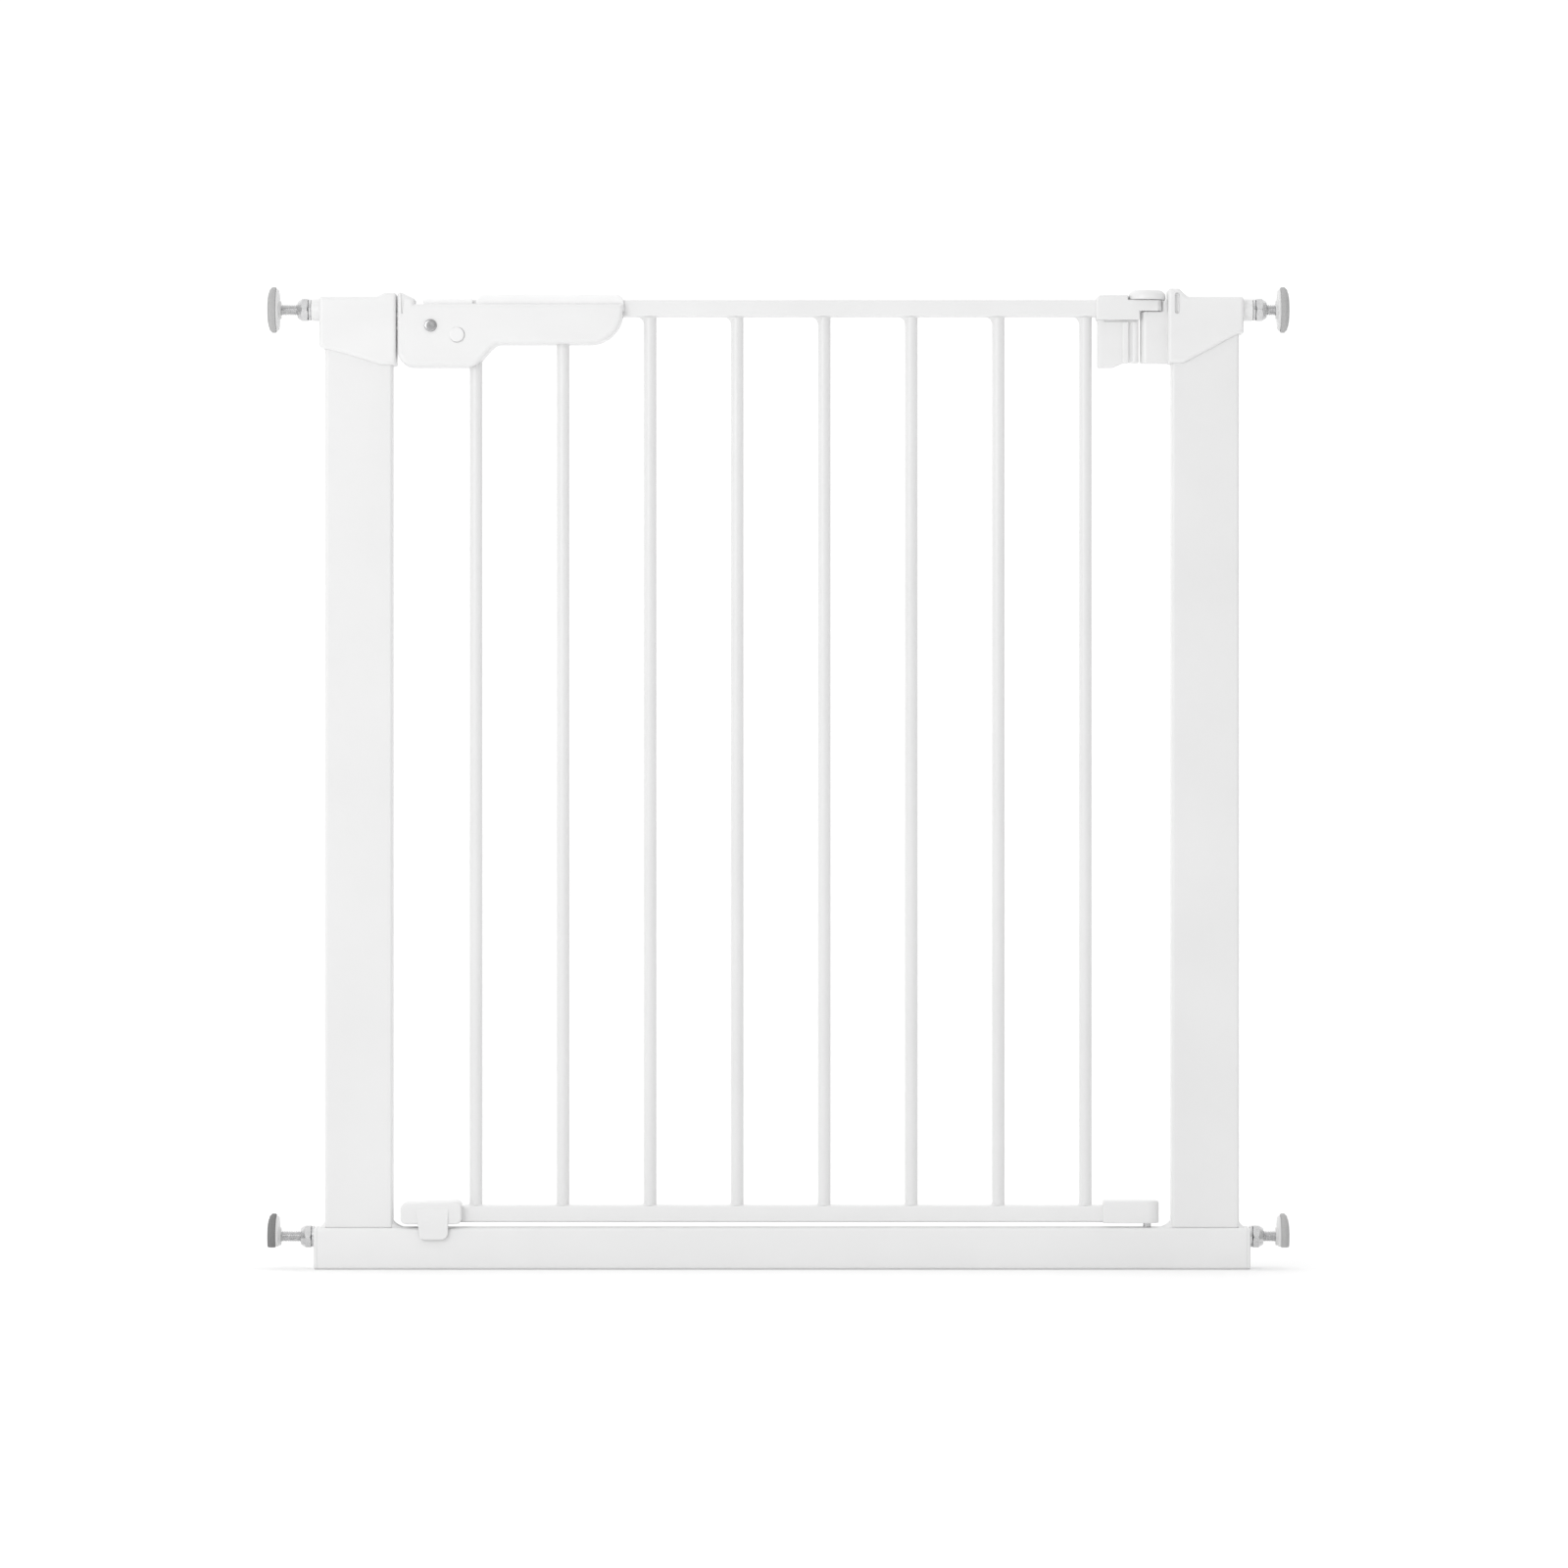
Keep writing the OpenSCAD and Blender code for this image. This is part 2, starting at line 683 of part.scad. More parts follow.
// steel bolt with a tongue that sits in the slide's groove
module latch_bolt() {
    color(zinc) {
        span([bolt_tip, -bolt_d / 2, bolt_z], [-268, bolt_d / 2, bolt_z + bolt_h]);
        span([-273, -2.5, bolt_z + bolt_h - eps], [-268, 2.5, 716]);
        span([-268 - eps, -2.5, 712.3], [-252, 2.5, 716]);
    }
}

// leaf spring under the slide's box, with a bump that clicks into the lock's two places
module lock_detent_spring() {
    color(zinc) xz_plate(-3, 3) polygon([
        [-256, 712.1], [-256, 711.7], [-249, 711.7], [-246.5, 708.4], [-244.5, 708.4],
        [-241, 711.2], [-238, 711.2], [-238, 711.6], [-241.2, 711.6], [-244.7, 708.8],
        [-246.3, 708.8], [-248.8, 712.1]]);
}

bottom_rail();
left_post();
right_post();
post_welds();
left_rail_plug();
right_rail_plug();
left_top_housing();
right_top_housing();
latch_keeper();
hinge_socket();
left_housing_screws();
right_housing_screws();
lower_hinge_bush();
washer_top_left();
washer_top_right();
washer_bottom_left();
washer_bottom_right();
spindle_rod_top_left();
spindle_rod_top_right();
spindle_rod_bottom_left();
spindle_rod_bottom_right();
pad_base_top_left();
pad_base_top_right();
pad_base_bottom_left();
pad_base_bottom_right();
wall_pad_top_left();
wall_pad_top_right();
wall_pad_bottom_left();
wall_pad_bottom_right();
adjusting_nut_top_left();
adjusting_nut_top_right();
adjusting_nut_bottom_left();
adjusting_nut_bottom_right();
upper_hinge_pin();
hinge_cap();
door_top_rail();
door_bottom_rail();
bar_1();
bar_2();
bar_3();
bar_4();
bar_5();
bar_6();
bar_7();
bar_8();
bar_welds();
lower_catch_cap();
lower_hinge_cap();
lower_hinge_pin();
upper_hinge_arm();
hinge_arm_screw();
handle_front_shell();
handle_back_shell();
handle_rivet();
handle_boss_cap();
handle_screws();
lock_slide();
latch_bolt();
lock_detent_spring();
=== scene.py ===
"""The looks of the pressure-fit safety gate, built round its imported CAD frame.

Shapes are worked out in millimetres, in the frame's own axes: X along the gate, Y towards
the back, Z up. Each piece stands for one CAD node and rides on that node's body.
"""

import json
import math

import bmesh
import bpy
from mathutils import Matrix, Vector


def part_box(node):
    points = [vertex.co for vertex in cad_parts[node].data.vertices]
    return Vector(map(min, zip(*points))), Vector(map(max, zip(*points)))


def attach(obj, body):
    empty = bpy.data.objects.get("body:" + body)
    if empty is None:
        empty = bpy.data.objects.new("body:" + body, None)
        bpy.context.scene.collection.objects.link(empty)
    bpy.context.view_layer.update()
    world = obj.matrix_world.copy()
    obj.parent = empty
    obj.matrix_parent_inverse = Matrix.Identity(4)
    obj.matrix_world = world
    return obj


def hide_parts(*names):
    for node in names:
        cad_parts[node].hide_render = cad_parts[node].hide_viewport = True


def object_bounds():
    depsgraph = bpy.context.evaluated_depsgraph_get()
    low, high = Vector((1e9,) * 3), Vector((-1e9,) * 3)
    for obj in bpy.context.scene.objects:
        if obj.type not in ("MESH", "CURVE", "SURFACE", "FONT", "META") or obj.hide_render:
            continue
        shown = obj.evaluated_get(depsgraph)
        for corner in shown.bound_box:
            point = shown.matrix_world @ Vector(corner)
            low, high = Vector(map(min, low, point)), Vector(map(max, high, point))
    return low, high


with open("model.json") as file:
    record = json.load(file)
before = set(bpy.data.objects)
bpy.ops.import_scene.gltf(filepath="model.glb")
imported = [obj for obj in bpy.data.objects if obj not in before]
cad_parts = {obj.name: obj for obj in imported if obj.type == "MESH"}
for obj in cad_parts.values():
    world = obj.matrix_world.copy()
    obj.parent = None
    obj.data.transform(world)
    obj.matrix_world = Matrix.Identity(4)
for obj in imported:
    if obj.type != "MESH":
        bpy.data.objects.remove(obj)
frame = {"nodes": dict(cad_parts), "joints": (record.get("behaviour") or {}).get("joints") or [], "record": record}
cad_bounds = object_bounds()

MM = 0.001
BODY_OF = {
    node: body
    for body, nodes in frame["record"]["behaviour"]["bodies"].items()
    for node in nodes
}
SLOT_OF = {part["node"]: part["material_slot"] for part in frame["record"]["subparts"]}
JOINTS = {joint["name"]: joint for joint in frame["joints"]}
SIDES = ("left", "right")
LEVELS = ("top", "bottom")
BARS = [f"bar_{number}" for number in range(1, 9)]


def node_box(node):
    """A CAD node's lowest and highest corners, in millimetres."""
    low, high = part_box(node)
    return low / MM, high / MM


def front_middle(node):
    """A node's middle as it is seen from the front, a pair (x, z)."""
    low, high = node_box(node)
    return (low.x + high.x) / 2, (low.z + high.z) / 2


def half_width(node, axis=0):
    """Half of a node's size along X or another axis, which is a round part's radius."""
    low, high = node_box(node)
    return (high[axis] - low[axis]) / 2


def sign(side):
    """-1 on the gate's left, 1 on its right."""
    return -1 if side == "left" else 1


def span(way, start, end):
    """The places way * start and way * end, the lower one first."""
    return sorted((way * start, way * end))


def inner_outer(low, high, way):
    """A box's inner and outer ends along X, on the side of the gate that way gives."""
    return (low.x, high.x) if way > 0 else (high.x, low.x)


# ---- outlines ----


class Outline:
    """A closed outline of corners (u, v, radius), each corner turned into an arc."""

    def __init__(self, corners, steps=6, inset=0.0):
        ahead = corners[1:] + corners[:1]
        area = sum(p[0] * q[1] - q[0] * p[1] for p, q in zip(corners, ahead))
        self.corners = list(corners) if area > 0 else list(corners)[::-1]
        self.steps, self.inset = steps, inset

    def smaller(self, by):
        """The same outline, moved inwards."""
        return Outline(self.corners, self.steps, self.inset + by)

    def points(self, inset=0.0):
        """The outline's points, with the whole outline moved inwards by inset."""
        inset = inset + self.inset
        spots = [Vector(corner[:2]) for corner in self.corners]
        ways = [(q - p).normalized() for p, q in zip(spots, spots[1:] + spots[:1])]
        line = []
        for i, (_, _, radius) in enumerate(self.corners):
            before, after = ways[i - 1], ways[i]
            left = Vector((-before.y, before.x))
            turn = math.atan2(before.cross(after), before.dot(after))
            middle = (left + Vector((-after.y, after.x))).normalized() / math.cos(turn / 2)
            spot = spots[i] + middle * inset
            if radius == 0:
                line.append(spot)
                continue
            convex = 1 if turn > 0 else -1
            radius = max(radius - convex * inset, 0)
            centre = spot + middle * (convex * radius)
            for k in range(self.steps + 1):
                a = turn * k / self.steps
                turned = Vector((
                    left.x * math.cos(a) - left.y * math.sin(a),
                    left.x * math.sin(a) + left.y * math.cos(a),
                ))
                line.append(centre - turned * (convex * radius))
        return line


def rectangle(u0, u1, v0, v1, radius=0.0, steps=6):
    """A rectangle's outline, with its corners rounded."""
    corners = [(u0, v0, radius), (u1, v0, radius), (u1, v1, radius), (u0, v1, radius)]
    return Outline(corners, steps)


def arc(u, v, radius, start, end, steps):
    """Sharp corners (u, v, 0) along an arc, its angles in degrees."""
    angles = [math.radians(start + (end - start) * k / steps) for k in range(steps + 1)]
    return [(u + radius * math.cos(a), v + radius * math.sin(a), 0) for a in angles]


# ---- solids ----


def along_x(u, v, w):
    return Vector((w, u, v))


def along_y(u, v, w):
    return Vector((u, w, v))


def along_z(u, v, w):
    return Vector((u, v, w))


def on_circle(place, centre, radius, a, w):
    """A point on a circle about centre, a pair (u, v), at the angle a in radians."""
    return place(centre[0] + radius * math.cos(a), centre[1] + radius * math.sin(a), w)


class Solid:
    """Points and faces of one or more closed skins, in millimetres."""

    def __init__(self):
        self.points, self.faces = [], []

    def skin(self, rings, loop=False):
        """Joins rings of points into a closed skin: capped, or the last ring joined to the first."""
        base, count = len(self.points), len(rings[0])
        self.points += [p for ring in rings for p in ring]
        last = len(rings) if loop else len(rings) - 1
        for r in range(last):
            here, there = base + r * count, base + (r + 1) % len(rings) * count
            for i in range(count):
                j = (i + 1) % count
                self.faces.append((here + i, here + j, there + j, there + i))
        if not loop:
            end = base + (len(rings) - 1) * count
            self.faces.append(tuple(range(base + count - 1, base - 1, -1)))
            self.faces.append(tuple(range(end, end + count)))
        return self


def plate(outline, low, high, rims=0.5, place=along_y, steps=4):
    """An outline drawn out from low to high; rims are the radii at its two ends."""
    low_rim, high_rim = rims if isinstance(rims, tuple) else (rims, rims)
    rings = rim_rings(outline, low, low_rim, 1, place, steps)
    return Solid().skin(rings + rim_rings(outline, high, high_rim, -1, place, steps)[::-1])


def rim_rings(outline, at, radius, way, place, steps):
    """Rings of a rounded rim, from the flat end inwards."""
    if radius == 0:
        return [[place(p.x, p.y, at) for p in outline.points()]]
    rings = []
    for k in range(steps + 1):
        a = math.radians(90 * k / steps)
        w = at + way * radius * (1 - math.cos(a))
        rings.append([place(p.x, p.y, w) for p in outline.points(radius * (1 - math.sin(a)))])
    return rings


def tube(outline, wall, low, high, place, edge=0.3):
    """A hollow section with open ends."""
    outer, inner, lip = outline.points(), outline.points(wall), outline.points(edge)
    rings = [
        (lip, low), (outer, low + edge), (outer, high - edge), (lip, high),
        (inner, high), (inner, low),
    ]
    return Solid().skin([[place(p.x, p.y, w) for p in line] for line, w in rings], loop=True)


def lathe(profile, centre, place, steps=48, loop=False, into=None):
    """A profile of (radius, along) turned about an axis through centre, a pair (u, v)."""
    angles = [2 * math.pi * k / steps for k in range(steps)]
    rings = [[on_circle(place, centre, radius, a, w) for a in angles] for radius, w in profile]
    return (into or Solid()).skin(rings, loop)


def rod(radius, low, high, centre, place, chamfer=0.0, steps=48):
    """A round bar, with its ends chamfered."""
    if not chamfer:
        return lathe([(radius, low), (radius, high)], centre, place, steps)
    return lathe([
        (radius - chamfer, low), (radius, low + chamfer),
        (radius, high - chamfer), (radius - chamfer, high),
    ], centre, place, steps)


def block(low, high):
    """A plain box, used as a cutter."""
    return plate(rectangle(low[0], high[0], low[2], high[2]), low[1], high[1], 0)


def new_object(name, data):
    """An object in the scene's own collection."""
    made = bpy.data.objects.new(name, data)
    bpy.context.scene.collection.objects.link(made)
    return made


def merged(mesh, gap):
    """A mesh to work on, with points closer than the gap merged."""
    work = bmesh.new()
    work.from_mesh(mesh)
    bmesh.ops.remove_doubles(work, verts=work.verts, dist=gap * MM)
    return work


def build(name, solid):
    """A Blender object from a Solid."""
    mesh = bpy.data.meshes.new(name)
    mesh.from_pydata([p * MM for p in solid.points], [], solid.faces)
    work = merged(mesh, 0.001)
    bmesh.ops.dissolve_degenerate(work, edges=work.edges, dist=0.0005 * MM)
    bmesh.ops.recalc_face_normals(work, faces=work.faces)
    work.to_mesh(mesh)
    work.free()
    return new_object(name, mesh)


def work_in(piece, tool, operation):
    """Works another object into the piece, then removes that object."""
    modifier = piece.modifiers.new("work", "BOOLEAN")
    modifier.operation = operation
    modifier.solver = "MANIFOLD"
    modifier.object = tool
    evaluated = piece.evaluated_get(bpy.context.evaluated_depsgraph_get())
    mesh = bpy.data.meshes.new_from_object(evaluated)
    piece.modifiers.clear()
    used = piece.data
    piece.data = mesh
    mesh.name = piece.name
    bpy.data.meshes.remove(used)
    bpy.data.meshes.remove(tool.data)


def combine(piece, solids, operation):
    """Works each solid into the piece in turn: DIFFERENCE, UNION or INTERSECT."""
    for solid in solids:
        work_in(piece, build("tool", solid), operation)


def cut(piece, *solids):
    combine(piece, solids, "DIFFERENCE")


def join(piece, *solids):
    combine(piece, solids, "UNION")


def place_piece(piece, node, material, sharp=32):
    """Finishes a piece's shading and puts it in the place of its CAD node."""
    mesh = piece.data
    work = merged(mesh, 0.002)
    bmesh.ops.dissolve_degenerate(work, edges=work.edges, dist=0.001 * MM)
    work.to_mesh(mesh)
    work.free()
    for face in mesh.polygons:
        face.use_smooth = True
    mesh.set_sharp_from_angle(angle=math.radians(sharp))
    even = piece.modifiers.new("even shading", "WEIGHTED_NORMAL")
    even.keep_sharp = True
    mesh.materials.clear()
    mesh.materials.append(material)
    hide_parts(node)
    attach(piece, BODY_OF[node])


# ---- materials ----

SHADE_SPREAD = 0.015


def grey(shade):
    return (shade, shade, shade)


class Finish:
    """One procedural material, with short ways to wire its nodes."""

    def __init__(self, name, metallic=0.0, coat=0.0, coat_roughness=0.2):
        self.material = bpy.data.materials.new(name)
        self.material.use_nodes = True
        self.tree = self.material.node_tree
        self.inputs = self.tree.nodes["Principled BSDF"].inputs
        self.inputs["Metallic"].default_value = metallic
        self.inputs["Coat Weight"].default_value = coat
        self.inputs["Coat Roughness"].default_value = coat_roughness
        self.where = self.node("TexCoord").outputs["Object"]

    def link(self, out, into):
        self.tree.links.new(out, into)

    def node(self, kind, values=()):
        """A new node, with some of its inputs set from pairs of a name and a value."""
        node = self.tree.nodes.new("ShaderNode" + kind)
        for name, value in values:
            node.inputs[name].default_value = value
        return node

    def noise(self, scale, detail=2.0, rough=0.5, stretch=None):
        """Soft noise, scale in features a metre; stretch squeezes it along an axis."""
        node = self.node("TexNoise", [("Scale", scale), ("Detail", detail), ("Roughness", rough)])
        self.link(self.stretched(stretch), node.inputs["Vector"])
        return node.outputs["Fac"]

    def stretched(self, stretch):
        if stretch is None:
            return self.where
        node = self.node("Mapping", [("Scale", stretch)])
        self.link(self.where, node.inputs["Vector"])
        return node.outputs["Vector"]

    def colours(self, value, *stops):
        """Runs the value through colour stops, each (place, (r, g, b))."""
        node = self.node("ValToRGB")
        ramp = node.color_ramp
        while len(ramp.elements) < len(stops):
            ramp.elements.new(0.5)
        for element, (place, colour) in zip(ramp.elements, stops):
            element.position = place
            element.color = (*colour, 1)
        self.link(value, node.inputs["Fac"])
        self.link(node.outputs["Color"], self.inputs["Base Color"])

    def greys(self, value, dark, light):
        """Runs the value from one grey to another."""
        self.colours(value, (0.3, grey(dark)), (0.7, grey(light)))

    def roughness(self, value, low, high):
        """Spreads the value's middle range over roughnesses from low to high."""
        limits = [("From Min", 0.3), ("From Max", 0.7), ("To Min", low), ("To Max", high)]
        node = self.node("MapRange", limits)
        self.link(value, node.inputs["Value"])
        self.link(node.outputs["Result"], self.inputs["Roughness"])

    def bumps(self, *layers):
        """Layers of (height, depth in millimetres)."""
        normal = None
        for height, depth in layers:
            node = self.node("Bump", [("Strength", 1.0), ("Distance", depth * MM)])
            self.link(height, node.inputs["Height"])
            if normal is not None:
                self.link(normal, node.inputs["Normal"])
            normal = node.outputs["Normal"]
        self.link(normal, self.inputs["Normal"])


def powder_coat(name, shade):
    """White powder coat: a faint orange peel, a little uneven in shade and gloss."""
    finish = Finish(name, coat=0.25, coat_roughness=0.18)
    finish.greys(finish.noise(9, 3), shade - SHADE_SPREAD, shade + SHADE_SPREAD)
    finish.roughness(finish.noise(60, 4, 0.6), 0.34, 0.48)
    finish.bumps((finish.noise(420, 2), 0.035), (finish.noise(2600, 1), 0.006))
    return finish.material


def moulded_plastic(name, shade):
    """Injection-moulded plastic: a fine spark-eroded grain and faint flow shading."""
    finish = Finish(name, coat=0.1, coat_roughness=0.25)
    flow = finish.noise(14, 3, 0.45, (1, 1, 2.5))
    finish.greys(flow, shade - SHADE_SPREAD, shade + SHADE_SPREAD)
    finish.roughness(finish.noise(900, 3, 0.6), 0.30, 0.42)
    finish.bumps((finish.noise(1900, 2, 0.6), 0.012), (finish.noise(45, 2), 0.03))
    return finish.material


def slide_plastic():
    """The lock slide's plastic: a lighter and glossier white."""
    finish = Finish("white_slide_plastic", coat=0.25, coat_roughness=0.15)
    flow = finish.noise(20, 3, 0.45, (3, 1, 1))
    finish.greys(flow, 0.875, 0.895)
    finish.roughness(finish.noise(90, 3, 0.6), 0.28, 0.34)
    finish.bumps((finish.noise(1500, 2, 0.6), 0.002), (finish.noise(60, 2), 0.02))
    return finish.material


def zinc_plate(name, shade):
    """Zinc plating round a shade: faint spangle, fine turning marks and a soft sheen."""
    finish = Finish(name, metallic=1.0)
    dark, light = shade - 0.05, shade + 0.05
    finish.colours(
        finish.noise(420, 3, 0.55),
        (0.28, (dark, dark, dark + 0.005)), (0.5, (shade, shade, shade + 0.005)),
        (0.74, grey(light)),
    )
    finish.roughness(finish.noise(300, 3, 0.6), 0.24, 0.30)
    finish.bumps(
        (finish.noise(420, 2, 0.5, (9, 1, 1)), 0.003), (finish.noise(1500, 2), 0.001)
    )
    return finish.material


def spring_steel():
    """Blue-grey rolled strip, with grain along its length."""
    finish = Finish("spring_steel_strip", metallic=1.0)
    grain = finish.noise(700, 3, 0.6, (0.15, 1, 1))
    finish.colours(grain, (0.3, (0.36, 0.37, 0.39)), (0.7, (0.50, 0.51, 0.53)))
    finish.roughness(grain, 0.25, 0.4)
    finish.bumps((grain, 0.008))
    return finish.material


def rubber(name, dark, light):
    """Moulded rubber: matt, softly speckled, with a fine bloom."""
    finish = Finish(name)
    finish.greys(finish.noise(1100, 4, 0.7), dark, light)
    finish.roughness(finish.noise(120, 3), 0.62, 0.82)
    finish.bumps((finish.noise(1600, 3, 0.7), 0.03), (finish.noise(200, 2), 0.05))
    return finish.material


POST_PAINT = powder_coat("white_powder_coat", 0.76)
# The rails' coat is the posts' white made lighter: painted light on the rails, the door's tubes and the post foot
# welds.
PAINTED_LIGHT_RAIL_COAT = powder_coat("white_powder_coat_with_painted_light_on_rails", 0.784)
# The bars' coat is the same white made darker: painted shade on the bars and their end welds.
PAINTED_SHADE_BAR_COAT = powder_coat("white_powder_coat_with_painted_shade_on_bars", 0.735)
PLASTIC = moulded_plastic("white_moulded_plastic", 0.78)
BASE_PLASTIC = moulded_plastic("pale_grey_moulded_plastic", 0.7)
SLIDE = slide_plastic()
ZINC = zinc_plate("zinc_plated_steel", 0.63)
# The rivet's zinc is the same plating made darker: painted shade standing in for the dark reflection of its flat
# head.
SHADED_RIVET_ZINC = zinc_plate("zinc_plated_steel_with_painted_shade", 0.42)
SPRING = spring_steel()
PALE_RUBBER = rubber("pale_grey_rubber", 0.39, 0.45)
DARK_RUBBER = rubber("dark_grey_rubber", 0.17, 0.21)

# ---- shared places and sizes, in millimetres ----

HINGE_X = JOINTS["door_swing"]["pos_m"][0] / MM
HINGE_AXIS = (HINGE_X, 0)
LOCK_TRAVEL = -JOINTS["lock_slide"]["range_m"][0] / MM
RAIL_LOW, RAIL_HIGH = node_box("bottom_rail")
TUBE_LOW, TUBE_HIGH = node_box("door_top_rail")
TUBE_HALF = TUBE_HIGH.y
SPINDLE_Z = {level: front_middle(f"washer_{level}_left")[1] for level in LEVELS}
ROD_R = half_width("spindle_rod_top_left", 2)
RAIL_CORNER = 2.6
RAIL_WALL = 1.5
TUBE_WALL = 1.2
# gaps round what passes through and round what turns
SLIP = 0.3
TURN_SLIP = 0.05
# where the hinge arm's underside steps up over the lug
ARM_STEP_X = HINGE_X - 5.9
ARM_STEP_Z = TUBE_LOW.z + 4.2

HANDLE_LOW, HANDLE_HIGH = node_box("handle_front_shell")
SHELL_TOP = HANDLE_HIGH.z - 8.9
SHELL_WALL = 2.0
RIVET_SHANK_R = 2.5
BOLT_TALL = 6
BOSS_CENTRE = front_middle("handle_boss_cap")
BOSS_R = half_width("handle_boss_cap")
# how far the boss cap reaches into the shell's front
BOSS_ROOT = 0.9

# ---- frame ----


def rail_outline():
    return rectangle(RAIL_LOW.y, RAIL_HIGH.y, RAIL_LOW.z, RAIL_HIGH.z, RAIL_CORNER, 7)


def make_bottom_rail():
    solid = tube(rail_outline(), RAIL_WALL, RAIL_LOW.x, RAIL_HIGH.x, along_x)
    piece = build("bottom_rail_tube", solid)
    hole_r, top = half_width("lower_hinge_bush"), RAIL_HIGH.z
    cut(piece, rod(hole_r, top - 4, top + 4, HINGE_AXIS, along_z))
    place_piece(piece, "bottom_rail", PAINTED_LIGHT_RAIL_COAT)


def make_post(side):
    low, high = node_box(f"{side}_post")
    outline = rectangle(low.x, high.x, low.y, high.y, RAIL_CORNER)
    solid = tube(outline, TUBE_WALL, low.z, high.z, along_z, edge=0.6)
    place_piece(build(f"{side}_post_tube", solid), f"{side}_post", POST_PAINT)


def make_post_welds():
    """A rippled fillet on each side of each post's foot, wider on the inner side."""
    solid = Solid()
    weld_low, weld_high = node_box("post_welds")
    size = weld_high.z - weld_low.z
    half_run, root = 9, -0.4
    steps, ripples = 54, 7
    for side in SIDES:
        low, high = node_box(f"{side}_post")
        for face_x, way in ((low.x, -1), (high.x, 1)):
            reach = 1.0 if way == sign(side) else 1.58
            rings = []
            for k in range(steps + 1):
                t = k / steps
                y = -half_run + 2 * half_run * t
                taper = min(1.0, 8 * t, 8 * (1 - t)) ** 0.5 if 0 < t < 1 else 0.05
                leg = size * taper * (0.94 + 0.06 * math.cos(2 * ripples * math.pi * t))
                ring = [(root, root), (leg, root), (leg, 0)]
                for s in (0.2, 0.4, 0.6, 0.8):
                    sag = 0.08 * leg * math.sin(math.pi * s)
                    ring.append((leg * (1 - s) * 0.98 - sag, leg * s * 0.98 - sag))
                ring += [(0, leg), (root, leg)]
                rings.append([Vector((face_x + way * reach * u, y, low.z + v)) for u, v in ring])
            solid.skin(rings)
    place_piece(build("post_foot_welds", solid), "post_welds", PAINTED_LIGHT_RAIL_COAT, sharp=50)


def make_rail_plug(side):
    low, high = node_box(f"{side}_rail_plug")
    way = sign(side)
    outer = inner_outer(low, high, way)[1]
    flange = inner_outer(RAIL_LOW, RAIL_HIGH, way)[1]
    gap = RAIL_WALL + 0.1
    inner = rectangle(RAIL_LOW.y + gap, RAIL_HIGH.y - gap, RAIL_LOW.z + gap, RAIL_HIGH.z - gap, 1.0)
    solid = plate(rail_outline(), *sorted((outer, flange)), (0.2, 1.1)[::way], along_x)
    piece = build(f"{side}_rail_end_plug", solid)
    root = sorted((flange - way * 11.9, flange + way * 0.5))
    join(piece, plate(inner, *root, 0.4, along_x))
    spindle = (0, SPINDLE_Z["bottom"])
    cut(piece, rod(ROD_R + SLIP, low.x - 2, high.x + 2, spindle, along_x))
    place_piece(piece, f"{side}_rail_plug", PLASTIC)


def housing_outline(side, inner, outer, top, bottom, collar):
    """The housing seen from the front, from its inner end outwards."""
    if side == "left":
        underside = [
            (inner, bottom, 1.2), (inner + 11.1, bottom, 8), (inner + 37.2, bottom + 8.2, 4),
            (inner + 53.8, bottom + 12.2, 4), (outer, bottom + 14.4, 2.5),
        ]
    else:
        underside = [
            (inner, bottom, 1.2), (inner + 11.8, bottom, 3), (inner + 51.8, bottom + 21.6, 3),
            (outer, bottom + 22.2, 1.4),
        ]
    body = underside + [
        (outer, top, 2.2), (inner + 14.7, top, 4),
        (inner + 8.2, collar, 1.6), (inner, collar, 1.8),
    ]
    way = sign(side)
    return Outline([(way * x, z, r) for x, z, r in body])


def make_top_housing(side):
    low, high = node_box(f"{side}_top_housing")
    way = sign(side)
    inner, outer = sorted((abs(low.x), abs(high.x)))
    z = SPINDLE_Z["top"]
    body_outer = outer - (6.5 if side == "left" else 7.5)
    top = z + 9.3
    outline = housing_outline(side, inner, body_outer, top, low.z, high.z)
    solid = plate(outline, low.y, high.y, 2.8, steps=6)
    piece = build(f"{side}_housing_body", solid)
    sleeve_r = 8.2
    sleeve = [
        (sleeve_r - 1.0, outer), (sleeve_r - 0.3, outer - 0.3), (sleeve_r, outer - 1.0),
        (sleeve_r, body_outer - 12),
    ]
    profile = [(r, way * w) for r, w in sleeve][::-way]
    join(piece, lathe(profile, (0, z), along_x, 56))
    # socket for the post, and the hollow above it
    post_low, post_high = node_box(f"{side}_post")
    gap = 0.1
    socket = block(
        (post_low.x - gap, post_low.y - gap, low.z - 5),
        (post_high.x + gap, post_high.y + gap, post_high.z),
    )
    hollow_low, hollow_high = span(way, inner + 17.4, inner + 52.4)
    hollow = block((hollow_low, -10.5, post_high.z - 1), (hollow_high, 10.5, top - 2.4))
    cut(piece, socket, hollow)
    # lining round the rod, then the rod's bore
    lining = span(way, inner + 16.4, outer - 1)
    join(piece, rod(sleeve_r - 1.8, *lining, (0, z), along_x))
    bore = span(way, inner + 12.8, outer + 2)
    cut(piece, rod(ROD_R + SLIP, *bore, (0, z), along_x))
    if side == "left":
        keeper_low, keeper_high = node_box("latch_keeper")
        cut(piece, block(keeper_low, (keeper_high.x + 2, keeper_high.y, keeper_high.z)))
    else:
        # finger groove below the collar, front and back
        groove = rectangle(inner + 4.9, inner + 8.8, z - 3.7, z + 12.2, 1.9, 8)
        deep, rim = 3.0, 1.5
        cut(piece, plate(groove, low.y - 2, low.y + deep, (0, rim)))
        cut(piece, plate(groove, high.y - deep, high.y + 2, (rim, 0)))
    place_piece(piece, f"{side}_top_housing", PLASTIC)


